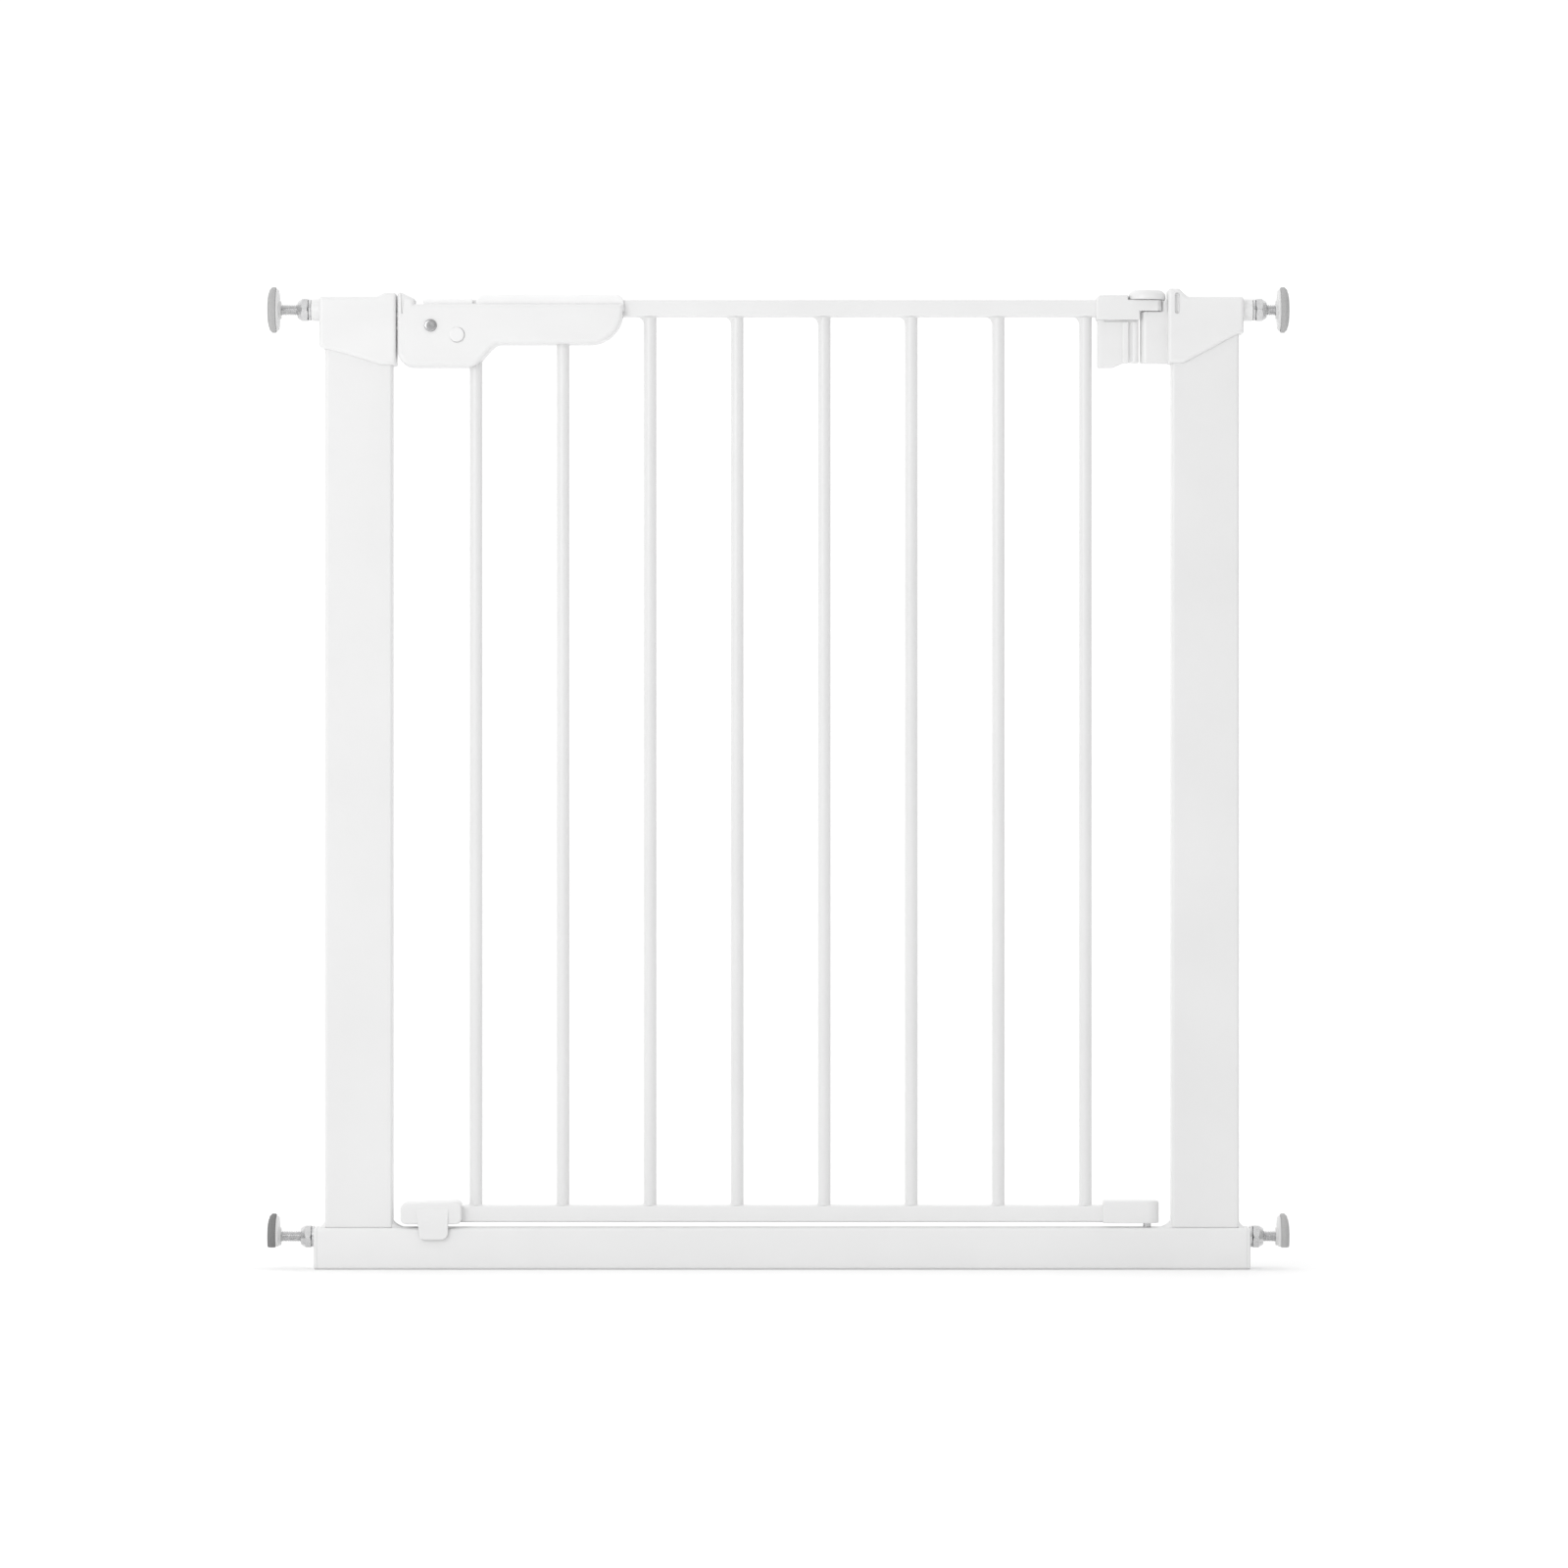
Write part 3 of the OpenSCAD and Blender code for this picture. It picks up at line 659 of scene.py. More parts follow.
def make_latch_keeper():
    low, high = node_box("latch_keeper")
    bolt_low = node_box("latch_bolt")[0]
    solid = plate(rectangle(low.x, high.x, low.z, high.z, 0.5), low.y, high.y, 0.5)
    piece = build("keeper_block", solid)
    gap = 0.5
    half = -bolt_low.y + gap
    cut(piece, block(
        (high.x - LOCK_TRAVEL - 2.2, -half, bolt_low.z - gap),
        (high.x + 1, half, bolt_low.z + BOLT_TALL + gap),
    ))
    place_piece(piece, "latch_keeper", ZINC)


def make_hinge_socket():
    """The lug on the right housing that holds the upper pin, with a web at its outer end."""
    low, high = node_box("hinge_socket")
    half = high.y
    lug_top = ARM_STEP_Z - 0.4
    knuckle = arc(HINGE_X, 0, half, 90, 270, 18) + [(high.x, -half, 0), (high.x, half, 0)]
    piece = build("hinge_lug", plate(Outline(knuckle), low.z, lug_top, 0.7, along_z))
    web = rectangle(high.x - 3.2, high.x, lug_top - 4, high.z, 0.4)
    join(piece, plate(web, -half + 0.02, half - 0.02, 0.6))
    bore_low = node_box("upper_hinge_pin")[0].z - 1.5
    bore_r = half_width("upper_hinge_pin") + TURN_SLIP
    cut(piece, rod(bore_r, bore_low, high.z + 3, HINGE_AXIS, along_z))
    place_piece(piece, "hinge_socket", PLASTIC)


def make_screws(name, node, count, shank):
    """Cross-head screws with domed heads, driven from the back; shank is a radius."""
    low, high = node_box(node)
    places = group_centres(node, count)
    head_r, head_tall = 3.3, 1.6
    dome = [(1.0, 0.0), (1.0, 0.35), (0.93, 0.62), (0.78, 0.83), (0.5, 0.97), (0.15, 1.0)]
    head_face = high.y - head_tall
    head = [(head_r * r, head_face + head_tall * h) for r, h in dome]
    point = [(shank * 0.35, low.y), (shank, low.y + 1.8), (shank, head_face)]
    solid = Solid()
    for at in places:
        lathe(head, at, along_y, 32, into=solid)
        lathe(point, at, along_y, 24, into=solid)
    piece = build(name, solid)
    # cross recesses, each of two slots
    long, narrow, deep = head_r * 0.55, head_r * 0.55 * 0.2, 0.9
    for x, z in places:
        for u, v in ((long, narrow), (narrow, long)):
            slot = rectangle(x - u, x + u, z - v, z + v)
            cut(piece, plate(slot, high.y - deep, high.y + 1, 0))
    place_piece(piece, node, ZINC)


def group_centres(node, count):
    """Middles, seen from the front, of the solids in a node's own mesh."""
    work = merged(frame["nodes"][node].data, 0.001)
    left = set(work.verts)
    middles = set()
    while left:
        queue, island = [left.pop()], []
        while queue:
            vert = queue.pop()
            island.append(vert.co)
            for edge in vert.link_edges:
                other = edge.other_vert(vert)
                if other in left:
                    left.remove(other)
                    queue.append(other)
        lines = [[spot.x for spot in island], [spot.z for spot in island]]
        middles.add(tuple(round((min(line) + max(line)) / 2 / MM, 2) for line in lines))
    work.free()
    centres = sorted(middles)
    if len(centres) != count:
        raise SystemExit(f"{node}: {len(centres)} solids, not {count}: {centres}")
    return centres


def make_lower_hinge_bush():
    low, high = node_box("lower_hinge_bush")
    radius = half_width("lower_hinge_bush")
    bore = half_width("lower_hinge_pin") + TURN_SLIP
    solid = lathe([
        (bore, low.z), (radius - 0.5, low.z), (radius, low.z + 0.5), (radius, high.z - 0.2),
        (radius - 0.2, high.z), (bore + 0.5, high.z), (bore, high.z - 0.5),
    ], HINGE_AXIS, along_z, loop=True)
    place_piece(build("rail_bush", solid), "lower_hinge_bush", PLASTIC)


# ---- spindles ----


def make_washer(level, side):
    node = f"washer_{level}_{side}"
    low, high = node_box(node)
    radius, z = high.y, SPINDLE_Z[level]
    bore = ROD_R + SLIP
    solid = lathe([
        (bore, low.x + 0.2), (bore + 0.2, low.x), (radius - 0.35, low.x), (radius, low.x + 0.35),
        (radius, high.x - 0.35), (radius - 0.35, high.x), (bore + 0.2, high.x), (bore, high.x - 0.2),
    ], (0, z), along_x, 56, loop=True)
    place_piece(build(f"flat_{node}", solid), node, ZINC)


def make_spindle_rod(level, side):
    """A rod with a rolled thread along it."""
    node = f"spindle_rod_{level}_{side}"
    low, high = node_box(node)
    pitch, depth, chamfer = 1.25, 0.62, 1.0
    # shares of the pitch: the crest, and the two flanks together
    crest, flank_run = 0.16, 0.7
    samples, around = 12, 24
    rings = []
    count = round((high.x - low.x) / pitch * samples)
    for k in range(count + 1):
        x = low.x + (high.x - low.x) * k / count
        end_gap = min(x - low.x, high.x - x)
        ring = []
        for j in range(around):
            phase = (x / pitch - j / around) % 1
            flank = min(max((abs(phase - 0.5) * 2 - crest) / flank_run, 0), 1)
            radius = min(ROD_R - depth * flank, ROD_R - chamfer + end_gap)
            a = 2 * math.pi * j / around
            ring.append(on_circle(along_x, (0, SPINDLE_Z[level]), radius, a, x))
        rings.append(ring)
    piece = build(f"threaded_{node}", Solid().skin(rings))
    place_piece(piece, node, ZINC, sharp=60)


def below(low, high):
    """A cutter for all that is under a box, to leave a round piece flat there."""
    return block((low.x - 4, -30, low.z - 30), (high.x + 4, 30, low.z))


def make_pad_base(level, side):
    node = f"pad_base_{level}_{side}"
    low, high = node_box(node)
    way = sign(side)
    z = SPINDLE_Z[level]
    hub_side, pad_side = inner_outer(low, high, way)
    radius, bore, hub_r = high.z - z, ROD_R + 0.02, 6.6
    disc_back = pad_side - way * 2
    profile = [
        (bore, pad_side), (radius - 0.3, pad_side), (radius, pad_side - way * 0.3),
        (radius, pad_side - way * 1.2), (radius - 0.9, disc_back), (hub_r + 1.0, disc_back),
        (hub_r + 0.25, disc_back - way * 0.5), (hub_r, hub_side), (bore, hub_side),
    ]
    piece = build(f"moulded_{node}", lathe(profile, (0, z), along_x, 64, loop=True))
    if level == "bottom":
        cut(piece, below(low, high))
    place_piece(piece, node, BASE_PLASTIC)


def make_wall_pad(level, side):
    """A crowned rubber pad with moulded rings on the face that meets the wall."""
    node = f"wall_pad_{level}_{side}"
    low, high = node_box(node)
    way = sign(side)
    z = SPINDLE_Z[level]
    base, face = inner_outer(low, high, way)
    radius, thick = high.z - z, abs(face - base)
    shoulder, middle_r, ring_step = 3.7, 8, 2.3
    profile = [
        (0.2, 0), (radius - 0.7, 0), (radius - 0.2, 0.2), (radius, 0.7), (radius, 2.7),
        (radius - 0.25, 3.3), (radius - 0.9, shoulder),
    ]
    ring_r = radius - 2.2
    while ring_r > middle_r + 1.2:
        rise = math.sin(math.pi / 2 * (radius - ring_r) / (radius - middle_r)) ** 0.8
        crown = shoulder + (thick - shoulder) * rise
        profile += [
            (ring_r + 0.45, crown - 0.12), (ring_r, crown), (ring_r - 0.7, crown + 0.06),
            (ring_r - 1.0, crown - 0.32), (ring_r - 1.5, crown - 0.32),
        ]
        ring_r -= ring_step
    profile += [
        (middle_r + 0.2, thick - 0.12), (middle_r - 0.2, thick), (2.8, thick),
        (2.4, thick - 0.6), (0.2, thick - 0.6),
    ]
    profile = [(r, base + way * w) for r, w in profile]
    piece = build(f"rubber_{node}", lathe(profile, (0, z), along_x, 72))
    if level == "bottom":
        cut(piece, below(low, high))
    rubber_finish = DARK_RUBBER if SLOT_OF[node] == "dark_rubber" else PALE_RUBBER
    place_piece(piece, node, rubber_finish, sharp=40)


def make_adjusting_nut(level, side):
    """A hexagonal nut whose outer end is turned to a cone."""
    node = f"adjusting_nut_{level}_{side}"
    low, high = node_box(node)
    way = sign(side)
    z = SPINDLE_Z[level]
    frame_end, outer_end = inner_outer(low, high, way)
    long = abs(outer_end - frame_end)
    flat = high.z - z
    corner = flat / math.cos(math.pi / 6)
    angles = [math.radians(60 * k) for k in range(6)]
    hexagon = [(corner * math.cos(a), z + corner * math.sin(a), 0.6) for a in angles]
    piece = build(f"hex_{node}", plate(Outline(hexagon, 3), low.x, high.x, 0, along_x))
    turned = [
        (flat - 0.2, 0), (corner - 0.3, 0.7), (corner + 0.2, 1.2), (corner + 0.2, 4.0),
        (flat - 0.2, 5.3), (6.3, long - 0.2), (6.0, long),
    ]
    profile = [(r, frame_end + way * w) for r, w in turned]
    combine(piece, [lathe(profile, (0, z), along_x, 72)], "INTERSECT")
    bore = ROD_R + TURN_SLIP
    cut(piece, lathe([
        (bore + 0.9, low.x - 0.3), (bore, low.x + 0.7), (bore, high.x - 0.7),
        (bore + 0.9, high.x + 0.3),
    ], (0, z), along_x))
    place_piece(piece, node, ZINC)


# ---- hinge carrier, and what else stands on end ----


def make_upright(name, node, x, chamfer, material, steps=48):
    """A round bar or pin that stands on end."""
    low, high = node_box(node)
    solid = rod(half_width(node), low.z, high.z, (x, 0), along_z, chamfer, steps)
    place_piece(build(name, solid), node, material)


def make_hinge_cap():
    low, high = node_box("hinge_cap")
    radius = high.y
    wall, shoulder, steps = 2.1, 5.2, 10
    profile = [(radius - 0.5, low.z), (radius, low.z + 0.5), (radius, low.z + wall)]
    for k in range(1, steps + 1):
        a = math.radians(90 * k / steps)
        # the last two steps also run in towards the middle
        run_in = (radius - shoulder - 0.2) * max(0, k - steps + 2) / 2
        profile.append((
            radius - shoulder + shoulder * math.cos(a) - run_in,
            low.z + wall + (high.z - low.z - wall) * math.sin(a),
        ))
    piece = build("hinge_dome", lathe(profile, HINGE_AXIS, along_z, 72))
    place_piece(piece, "hinge_cap", PLASTIC)


# ---- door ----


def make_door_tube(node):
    low, high = node_box(node)
    outline = rectangle(low.y, high.y, low.z, high.z, 1.7, 5)
    solid = tube(outline, TUBE_WALL, low.x, high.x, along_x)
    place_piece(build(f"{node}_tube", solid), node, PAINTED_LIGHT_RAIL_COAT)


def weld_collar(solid, x, bar_r, face_z, way, small, large):
    """A rippled fillet round a bar, larger on its left, above (way 1) or below (-1) face_z."""
    around, steps, root = 48, 6, 0.5
    rings = []
    for s in range(steps + 3):
        ring = []
        for k in range(around):
            a = 2 * math.pi * k / around
            lean = max(0.0, -math.cos(a)) ** 4
            size = small + (large - small) * lean + 0.07 * math.sin(11 * a)
            if s == 0:
                radius, drop = bar_r - root, -0.3
            elif s == steps + 2:
                radius, drop = bar_r - root, size
            else:
                b = math.radians(90 * (s - 1) / steps)
                radius = bar_r + size - size * math.sin(b)
                drop = size - size * math.cos(b)
            ring.append(on_circle(along_z, (x, 0), radius, a, face_z + way * drop))
        rings.append(ring)
    solid.skin(rings, loop=True)


def make_bar_welds():
    solid = Solid()
    for bar in BARS:
        low, high = node_box(bar)
        x, bar_r = front_middle(bar)[0], half_width(bar)
        weld_collar(solid, x, bar_r, high.z, -1, 1.1, 5.6)
        weld_collar(solid, x, bar_r, low.z, 1, 0.9, 2.4)
    place_piece(build("bar_end_welds", solid), "bar_welds", PAINTED_SHADE_BAR_COAT, sharp=55)


def make_lower_catch_cap():
    """A saddle on the door's corner, with a stop tab in front of the frame's rail."""
    low, high = node_box("lower_catch_cap")
    rail_box_low, rail_box_high = node_box("door_bottom_rail")
    bottom = rail_box_low.z - 1
    saddle = Outline([
        (low.x, bottom, 4.2), (high.x, bottom, 4.2), (high.x, high.z, 4.4),
        (low.x, high.z - 1.8, 4.4),
    ], 7)
    piece = build("catch_saddle", plate(saddle, low.y + 1.6, 10, (1.6, 1.6)))
    # the tab's top slopes back into the saddle's front
    tab_left, tab_right, tab_top = low.x + 14.6, low.x + 35.5, low.z + 26
    side_view = Outline([
        (low.y + 3.5, low.z, 0.4), (low.y, low.z, 1.1), (low.y, low.z + 13.6, 14),
        (low.y + 1.62, low.z + 25.4, 5), (low.y + 3.5, low.z + 25.6, 0),
    ], 7)
    front_view = Outline([
        (tab_left, low.z, 2.2), (tab_right, low.z, 5.2), (tab_right, tab_top, 0),
        (tab_left - 3.6, tab_top, 0),
    ], 7)
    tab = build("catch_tab", plate(side_view, tab_left - 5, tab_right + 1, 0, along_x))
    combine(tab, [plate(front_view, low.y - 0.01, low.y + 4, (1.0, 0))], "INTERSECT")
    work_in(piece, tab, "UNION")
    cut(piece, block(
        (rail_box_low.x - 0.1, -TUBE_HALF, rail_box_low.z), (high.x + 5, TUBE_HALF, rail_box_high.z)
    ))
    place_piece(piece, "lower_catch_cap", PLASTIC)


def make_lower_hinge_cap():
    low, high = node_box("lower_hinge_cap")
    rail_box_high = node_box("door_bottom_rail")[1]
    radius = high.x - HINGE_X
    plan = [(low.x, -radius, 1.2), (HINGE_X, -radius, 0)]
    plan += arc(HINGE_X, 0, radius, -80, 80, 18)
    plan += [(HINGE_X, radius, 0), (low.x, radius, 1.2)]
    piece = build("hinge_saddle", plate(Outline(plan), low.z, high.z, (0.6, 2.2), along_z))
    cut(piece, block(
        (low.x - 5, -TUBE_HALF, low.z - 3), (rail_box_high.x + 0.1, TUBE_HALF, rail_box_high.z)
    ))
    bore_r = half_width("lower_hinge_pin") + 0.01
    bore_top = node_box("lower_hinge_pin")[1].z + 1
    cut(piece, rod(bore_r, low.z - 4, bore_top, HINGE_AXIS, along_z))
    place_piece(piece, "lower_hinge_cap", PLASTIC)


def make_upper_hinge_arm():
    """The block on the door's corner: its round end steps up over the lug, and a skirt hangs below."""
    low, high = node_box("upper_hinge_arm")
    cap_low = node_box("hinge_cap")[0]
    arm_low = TUBE_LOW.z - 2.5
    arm_high = cap_low.z - 0.3
    half = high.y
    end_r = high.x - HINGE_X
    end_angle = math.degrees(math.asin(half / end_r))
    plan = [(low.x, -half, 2)] + arc(HINGE_X, 0, end_r, -end_angle, end_angle, 24)
    plan = Outline(plan + [(low.x, half, 2)], 12)
    piece = build("hinge_arm", plate(plan, ARM_STEP_Z, arm_high, (0.6, 0.5), along_z))
    root = rectangle(low.x + 8, ARM_STEP_X, -half, half, 0.8)
    join(piece, plate(root, arm_low, ARM_STEP_Z + 3, (0.8, 0.2), along_z))
    head_right = cap_low.x - 0.4
    head = Outline([
        (low.x, arm_low, 0.8), (head_right, arm_low, 0.8), (head_right, high.z, 1.0),
        (low.x, high.z, 4.2),
    ], 7)
    join(piece, plate(head, -half, half, 1.6))
    make_skirt(piece, low, arm_low)
    cut(piece, block((low.x - 4, -TUBE_HALF, TUBE_LOW.z), TUBE_HIGH))
    bore_r = half_width("upper_hinge_pin") + TURN_SLIP
    cut(piece, rod(bore_r, arm_low - 3, arm_high + 8, HINGE_AXIS, along_z))
    place_piece(piece, "upper_hinge_arm", PLASTIC)


def make_skirt(piece, low, arm_low):
    """Joins on the skirt under the arm: a panel, a proud rib, a groove and a round-faced column."""
    left, bottom, top = low.x + 1.2, low.z, arm_low + 2
    step = bottom + 3.6
    panel = Outline([
        (left, top, 0), (left, bottom, 1.6), (left + 11.2, bottom, 2.4), (left + 19.3, step, 1.6),
        (left + 22, step, 0.5), (left + 22, top, 0),
    ], 5)
    column = rectangle(left + 25.1, left + 30.6, -6, 6, 2.7, 8)
    join(
        piece,
        plate(panel, -5.2, 5.2, 1.2),
        plate(rectangle(left + 18.6, left + 23.1, step, top, 0.6), -7, 7, 1.0),
        plate(rectangle(left + 21, left + 27, step + 0.3, top), -4.5, 4.5, 0.2),
        plate(column, step, top, (0.8, 0.2), along_z),
    )
    # slot under the arm, front and back
    for face in (-8, 4.2):
        cut(piece, block((left + 5, face, arm_low - 1.6), (left + 32, face + 3.8, arm_low)))


# ---- handle ----


def handle_outline():
    """The handle seen from the front: flange, lock housing, grip and open right end."""
    left, lump = HANDLE_LOW.x, HANDLE_LOW.z
    right, top = HANDLE_HIGH.x, HANDLE_HIGH.z
    grip = lump + 17
    corners = [(left, top + 0.89, 1.6)]
    corners += arc(left + 11, lump + 11, 11, 181, 269, 12)
    steps = 16
    for k in range(steps + 1):
        t = k / steps
        rise = (1 - math.cos(math.pi * t)) / 2
        corners.append((left + 54.2 + 22 * t, lump + (grip - lump) * rise, 0))
    corners += arc(right - 25.2, grip + 25, 25, 271, 350, 16)
    corners += [
        (right, SHELL_TOP, 1.0), (left + 12.4, SHELL_TOP, 0), (left + 12.4, top - 4.9, 1.2),
    ]
    return Outline(corners, 4)


def make_handle_shell(node, way):
    """Half of the handle: way is -1 for the front, 1 for the back."""
    half = -HANDLE_LOW.y
    outline = handle_outline()
    solid = plate(outline, *span(way, half, 0), (3.4, 0.25)[::-way], steps=7)
    piece = build(f"{node}_moulding", solid)
    hollow = span(way, half - SHELL_WALL, -1.0)
    cut(piece, plate(outline.smaller(SHELL_WALL), *hollow, (2.0, 0)[::-way]))
    # bosses that the screws and the rivet run through
    screw_places = group_centres("handle_screws", 3)
    rivet = front_middle("handle_rivet")
    boss = span(way, 0.1, half - 1)
    for at, radius in [(at, 3.6) for at in screw_places] + [(rivet, 4.2)]:
        join(piece, rod(radius, *boss, at, along_y, 0, 32))
    cut(piece, *handle_channels())
    cut(piece, rod(RIVET_SHANK_R + 0.01, -half - 1, half + 1, rivet, along_y))
    for at in screw_places:
        cut(piece, rod(1.55, -half + SHELL_WALL, half + 1, at, along_y, 0, 24))
    if way < 0:
        cut_front_details(piece)
    place_piece(piece, node, PLASTIC)


def handle_channels():
    """Cutters for what runs through both shells: slide, tube, latch bolt and two bars."""
    slide_low, slide_high = node_box("lock_slide")
    bolt_low, bolt_high = node_box("latch_bolt")
    left, right, bolt_gap = HANDLE_LOW.x, HANDLE_HIGH.x, 0.4
    channel, channel_top = slide_high.y + SLIP, SHELL_TOP + 12
    cutters = [
        block(
            (slide_low.x - LOCK_TRAVEL - 0.4, -channel, SHELL_TOP - 3),
            (right + 8, channel, channel_top),
        ),
        block((right - 7, -channel, TUBE_LOW.z - 0.5), (right + 8, channel, channel_top)),
        block(
            (left - 4, bolt_low.y - bolt_gap, bolt_low.z - bolt_gap),
            (left + 6, bolt_high.y + bolt_gap, bolt_low.z + BOLT_TALL + bolt_gap),
        ),
    ]
    for bar in BARS[:2]:
        middle = (front_middle(bar)[0], 0)
        ends = (HANDLE_LOW.z - 10, TUBE_LOW.z)
        cutters.append(rod(half_width(bar) + 0.1, *ends, middle, along_z))
    return cutters


def cut_front_details(piece):
    """Cuts the shallow recesses that only the front shell has."""
    left, face, top = HANDLE_LOW.x, HANDLE_LOW.y, HANDLE_HIGH.z
    # wedge-shaped recess between the flange and the lock housing
    wedge = Outline([
        (left + 2.7, top - 16.3, 0.3), (left + 3.5, top - 16.3, 0.3),
        (left + 5.8, top + 0.7, 0), (left + 2.0, top + 0.7, 0),
    ], 5)
    cut(piece, plate(wedge, face - 2, face + 1.4, 0))
    # shallow step that carries on below it
    step = rectangle(left + 2.2, left + 5.0, HANDLE_LOW.z + 9, top - 15.5, 1.2)
    cut(piece, plate(step, face - 2, face + 0.3, (0, 0.25)))
    # crescent round the boss cap's lower right
    moat = (BOSS_CENTRE[0] + 0.48, BOSS_CENTRE[1] - 0.36)
    cut(piece, rod(BOSS_R + 0.3, face - 2, face + BOSS_ROOT, moat, along_y, 0, 64))


def make_handle_rivet():
    low, high = node_box("handle_rivet")
    radius = half_width("handle_rivet")
    half = node_box("handle_back_shell")[1].y
    profile = [
        (radius * 0.2, low.y + 0.12), (radius * 0.5, low.y), (radius - 0.8, low.y + 0.03),
        (radius - 0.2, low.y + 0.3), (radius, low.y + 0.8), (radius, -half),
        (RIVET_SHANK_R, -half), (RIVET_SHANK_R, half), (radius, half), (radius, high.y - 0.8),
        (radius - 0.2, high.y - 0.25), (radius - 0.7, high.y),
    ]
    solid = lathe(profile, front_middle("handle_rivet"), along_y)
    # The rivet takes the darker copy of the zinc plating, which is painted shade.
    place_piece(build("lock_rivet", solid), "handle_rivet", SHADED_RIVET_ZINC)


def make_handle_boss_cap():
    low, high = node_box("handle_boss_cap")
    profile = [
        (BOSS_R, high.y + BOSS_ROOT), (BOSS_R, low.y + 0.5), (BOSS_R - 0.15, low.y + 0.2),
        (BOSS_R - 0.5, low.y + 0.03), (BOSS_R - 1.2, low.y), (0.3, low.y),
    ]
    solid = lathe(profile, BOSS_CENTRE, along_y)
    # the face leans: 0.4 of its height at the upper left, all of it at the lower right
    for point in solid.points:
        along = 0.8 * (point.x - BOSS_CENTRE[0]) - 0.6 * (point.z - BOSS_CENTRE[1])
        if point.y < high.y:
            point.y = high.y + (point.y - high.y) * (0.7 + 0.3 * along / BOSS_R)
    place_piece(build("screw_boss", solid), "handle_boss_cap", PLASTIC)


# ---- lock ----


def make_lock_slide():
    """A channel that rides on the door's top tube: a box on the left, a thumb strip on the right."""
    low, high = node_box("lock_slide")
    half, gap = high.y, 0.4
    cheek = TUBE_HALF + gap
    strip_floor = TUBE_HIGH.z + gap
    strip_left, strip_bottom = low.x + 38.8, low.z + 1.8
    box_right = TUBE_LOW.x - 0.8
    box_top = high.z - 3.4
    piece = build("slide_moulding", plate(
        rectangle(low.x, low.x + 36.6, low.z, box_top, 0.9), -half, half, 0.9
    ))
    strip = Outline([
        (strip_left, strip_bottom, 0.6), (high.x, strip_bottom, 0.6), (high.x, high.z, 6.4),
        (strip_left + 3.2, high.z, 2.2), (strip_left, high.z - 3.2, 0.9),
    ], 8)
    join(piece, plate(strip, -half, half, 1.6, steps=5))
    link = rectangle(low.x + 30, strip_left + 6, strip_bottom, low.z + 7.8)
    join(piece, plate(link, -half + 0.02, half - 0.02, 0.2))
    # room for the tube, for the strip's underside and for the bolt's tongue
    cut(
        piece,
        block((box_right, -cheek, low.z - 3), (high.x + 5, cheek, strip_floor)),
        block((box_right, -cheek, strip_floor - 1), (strip_left - 0.2, cheek, high.z + 5)),
        block((low.x - 1, -2.6, low.z - 1), (low.x + 15.4, 2.6, low.z + 3.9)),
    )
    # thumb grooves along the strip's top
    groove_pitch = 4.2
    for k in range(7):
        x = high.x - 16 - groove_pitch * k
        cut(piece, plate(rectangle(x, x + 2.0, high.z - 0.55, high.z + 1), -5.6, 5.6, 0))
    place_piece(piece, "lock_slide", SLIDE)


def make_latch_bolt():
    low, high = node_box("latch_bolt")
    bolt_top, bolt_end, neck_half = low.z + BOLT_TALL, low.x + 18, 2.5
    nose = Outline([
        (low.x, low.z, 1.2), (bolt_end, low.z, 0.3), (bolt_end, bolt_top, 0.3),
        (low.x, bolt_top, 1.2),
    ], 4)
    piece = build("bolt_bar", plate(nose, low.y, high.y, 0.5))
    neck = rectangle(bolt_end - 5, bolt_end, bolt_top - 1, high.z, 0.4)
    join(piece, plate(neck, -neck_half, neck_half, 0.2))
    tongue = rectangle(bolt_end - 1, high.x, low.z + 8.3, high.z, 0.4)
    join(piece, plate(tongue, -neck_half + 0.02, neck_half - 0.02, 0.2))
    place_piece(piece, "latch_bolt", ZINC)


def make_detent_spring():
    low, high = node_box("lock_detent_spring")
    x, z, half_thick = low.x, high.z, 0.2
    line = [(0, -0.2), (7.2, -0.2), (9.6, -3.2), (11.4, -3.2), (15, -0.7), (18, -0.7)]
    upper = [(x + u, z + v + half_thick, 0) for u, v in line]
    lower = [(x + u, z + v - half_thick, 0) for u, v in line[::-1]]
    piece = build("detent_leaf", plate(Outline(upper + lower), low.y, high.y, 0))
    place_piece(piece, "lock_detent_spring", SPRING)


# ---- the whole gate ----

make_bottom_rail()
make_post_welds()
for side in SIDES:
    make_post(side)
    make_rail_plug(side)
    make_top_housing(side)
    make_screws(f"{side}_housing_fixings", f"{side}_housing_screws", 2, 1.7)
make_latch_keeper()
make_hinge_socket()
make_lower_hinge_bush()
for level in LEVELS:
    for side in SIDES:
        make_washer(level, side)
        make_spindle_rod(level, side)
        make_pad_base(level, side)
        make_wall_pad(level, side)
        make_adjusting_nut(level, side)
make_upright("upper_pin", "upper_hinge_pin", HINGE_X, 0.6, ZINC)
make_hinge_cap()
make_door_tube("door_top_rail")
make_door_tube("door_bottom_rail")
for bar in BARS:
    make_upright(f"round_{bar}", bar, front_middle(bar)[0], 0.2, PAINTED_SHADE_BAR_COAT, 56)
make_bar_welds()
make_lower_catch_cap()
make_lower_hinge_cap()
make_upright("lower_pin", "lower_hinge_pin", HINGE_X, 0.8, ZINC)
make_upper_hinge_arm()
make_screws("hinge_arm_fixing", "hinge_arm_screw", 1, 1.7)
make_handle_shell("handle_front_shell", -1)
make_handle_shell("handle_back_shell", 1)
make_handle_rivet()
make_handle_boss_cap()
make_screws("handle_fixings", "handle_screws", 3, 1.5)
make_lock_slide()
make_latch_bolt()
make_detent_spring()

# ---- stage, light and camera ----


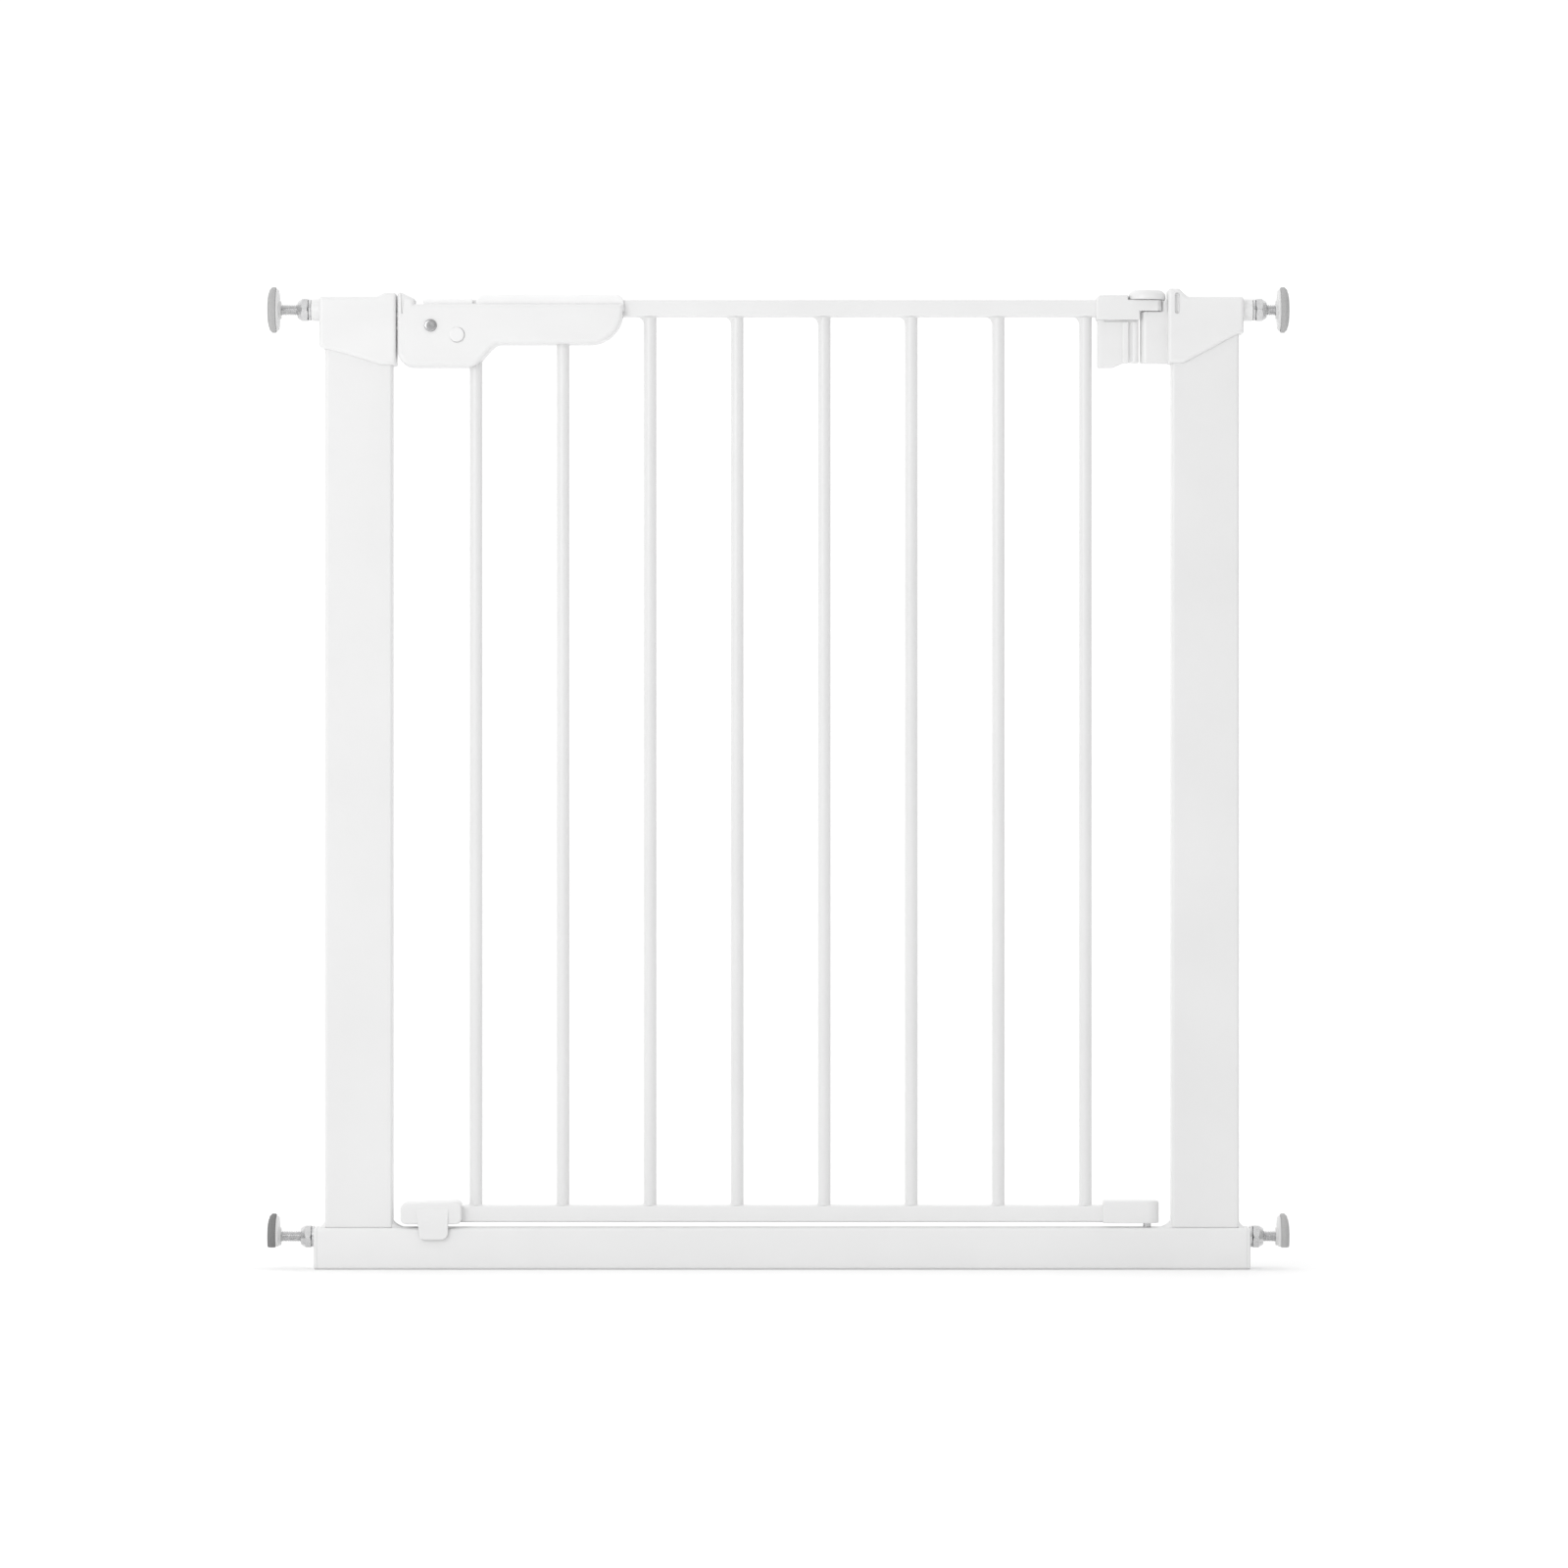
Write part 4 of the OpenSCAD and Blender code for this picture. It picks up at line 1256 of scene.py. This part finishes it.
def make_floor():
    mesh = bpy.data.meshes.new("floor")
    reach = 60  # metres
    corners = [(-reach, -reach, 0), (reach, -reach, 0), (reach, reach, 0), (-reach, reach, 0)]
    mesh.from_pydata(corners, [], [(0, 1, 2, 3)])
    floor = new_object("floor", mesh)
    finish = Finish("pale_floor")
    finish.greys(finish.noise(1.5, 2), 0.945, 0.96)
    finish.roughness(finish.noise(8, 2), 0.75, 0.85)
    floor.data.materials.append(finish.material)


def make_world():
    """A soft white studio: a little brighter on the left, behind the gate and overhead."""
    world = bpy.data.worlds.new("studio")
    bpy.context.scene.world = world
    world.use_nodes = True
    tree = world.node_tree
    background = tree.nodes["Background"]
    where = tree.nodes.new("ShaderNodeTexCoord")
    split = tree.nodes.new("ShaderNodeSeparateXYZ")
    tree.links.new(where.outputs["Generated"], split.inputs[0])
    strength, total = 0.81, None
    for axis, weight in (("X", -0.12), ("Y", 0.25), ("Z", 0.4)):
        step = tree.nodes.new("ShaderNodeMath")
        step.operation = "MULTIPLY_ADD"
        step.inputs[1].default_value = weight
        tree.links.new(split.outputs[axis], step.inputs[0])
        if total is None:
            step.inputs[2].default_value = strength
        else:
            tree.links.new(total, step.inputs[2])
        total = step.outputs[0]
    tree.links.new(total, background.inputs["Strength"])
    background.inputs["Color"].default_value = (1, 1, 1, 1)


def make_key_light():
    """A large soft light in front of the gate, up on the left."""
    data = bpy.data.lights.new("key", "AREA")
    data.shape = "RECTANGLE"
    data.size = data.size_y = 0.9
    data.energy = 9.8
    light = new_object("key", data)
    light.location = (-1.15, -1.9, 1.0)
    aim = Vector((0, 0, 0.3))
    light.rotation_euler = (aim - light.location).to_track_quat("-Z", "Y").to_euler()


def make_camera():
    """A long lens, straight in front of the gate; places and lengths here are in metres."""
    low, high = cad_bounds
    distance, seen_width = 5.0, 1.171
    aside, down = 0.0042, 0.0046
    data = bpy.data.cameras.new("camera")
    data.sensor_width = 36
    data.lens = data.sensor_width * distance / seen_width
    data.clip_end = 200
    camera = new_object("camera", data)
    camera.location = ((low.x + high.x) / 2 + aside, -distance, (low.z + high.z) / 2 - down)
    camera.rotation_euler = (math.pi / 2, 0, 0)
    bpy.context.scene.camera = camera


make_floor()
make_world()
make_key_light()
make_camera()
bpy.context.scene.view_settings.view_transform = "Standard"
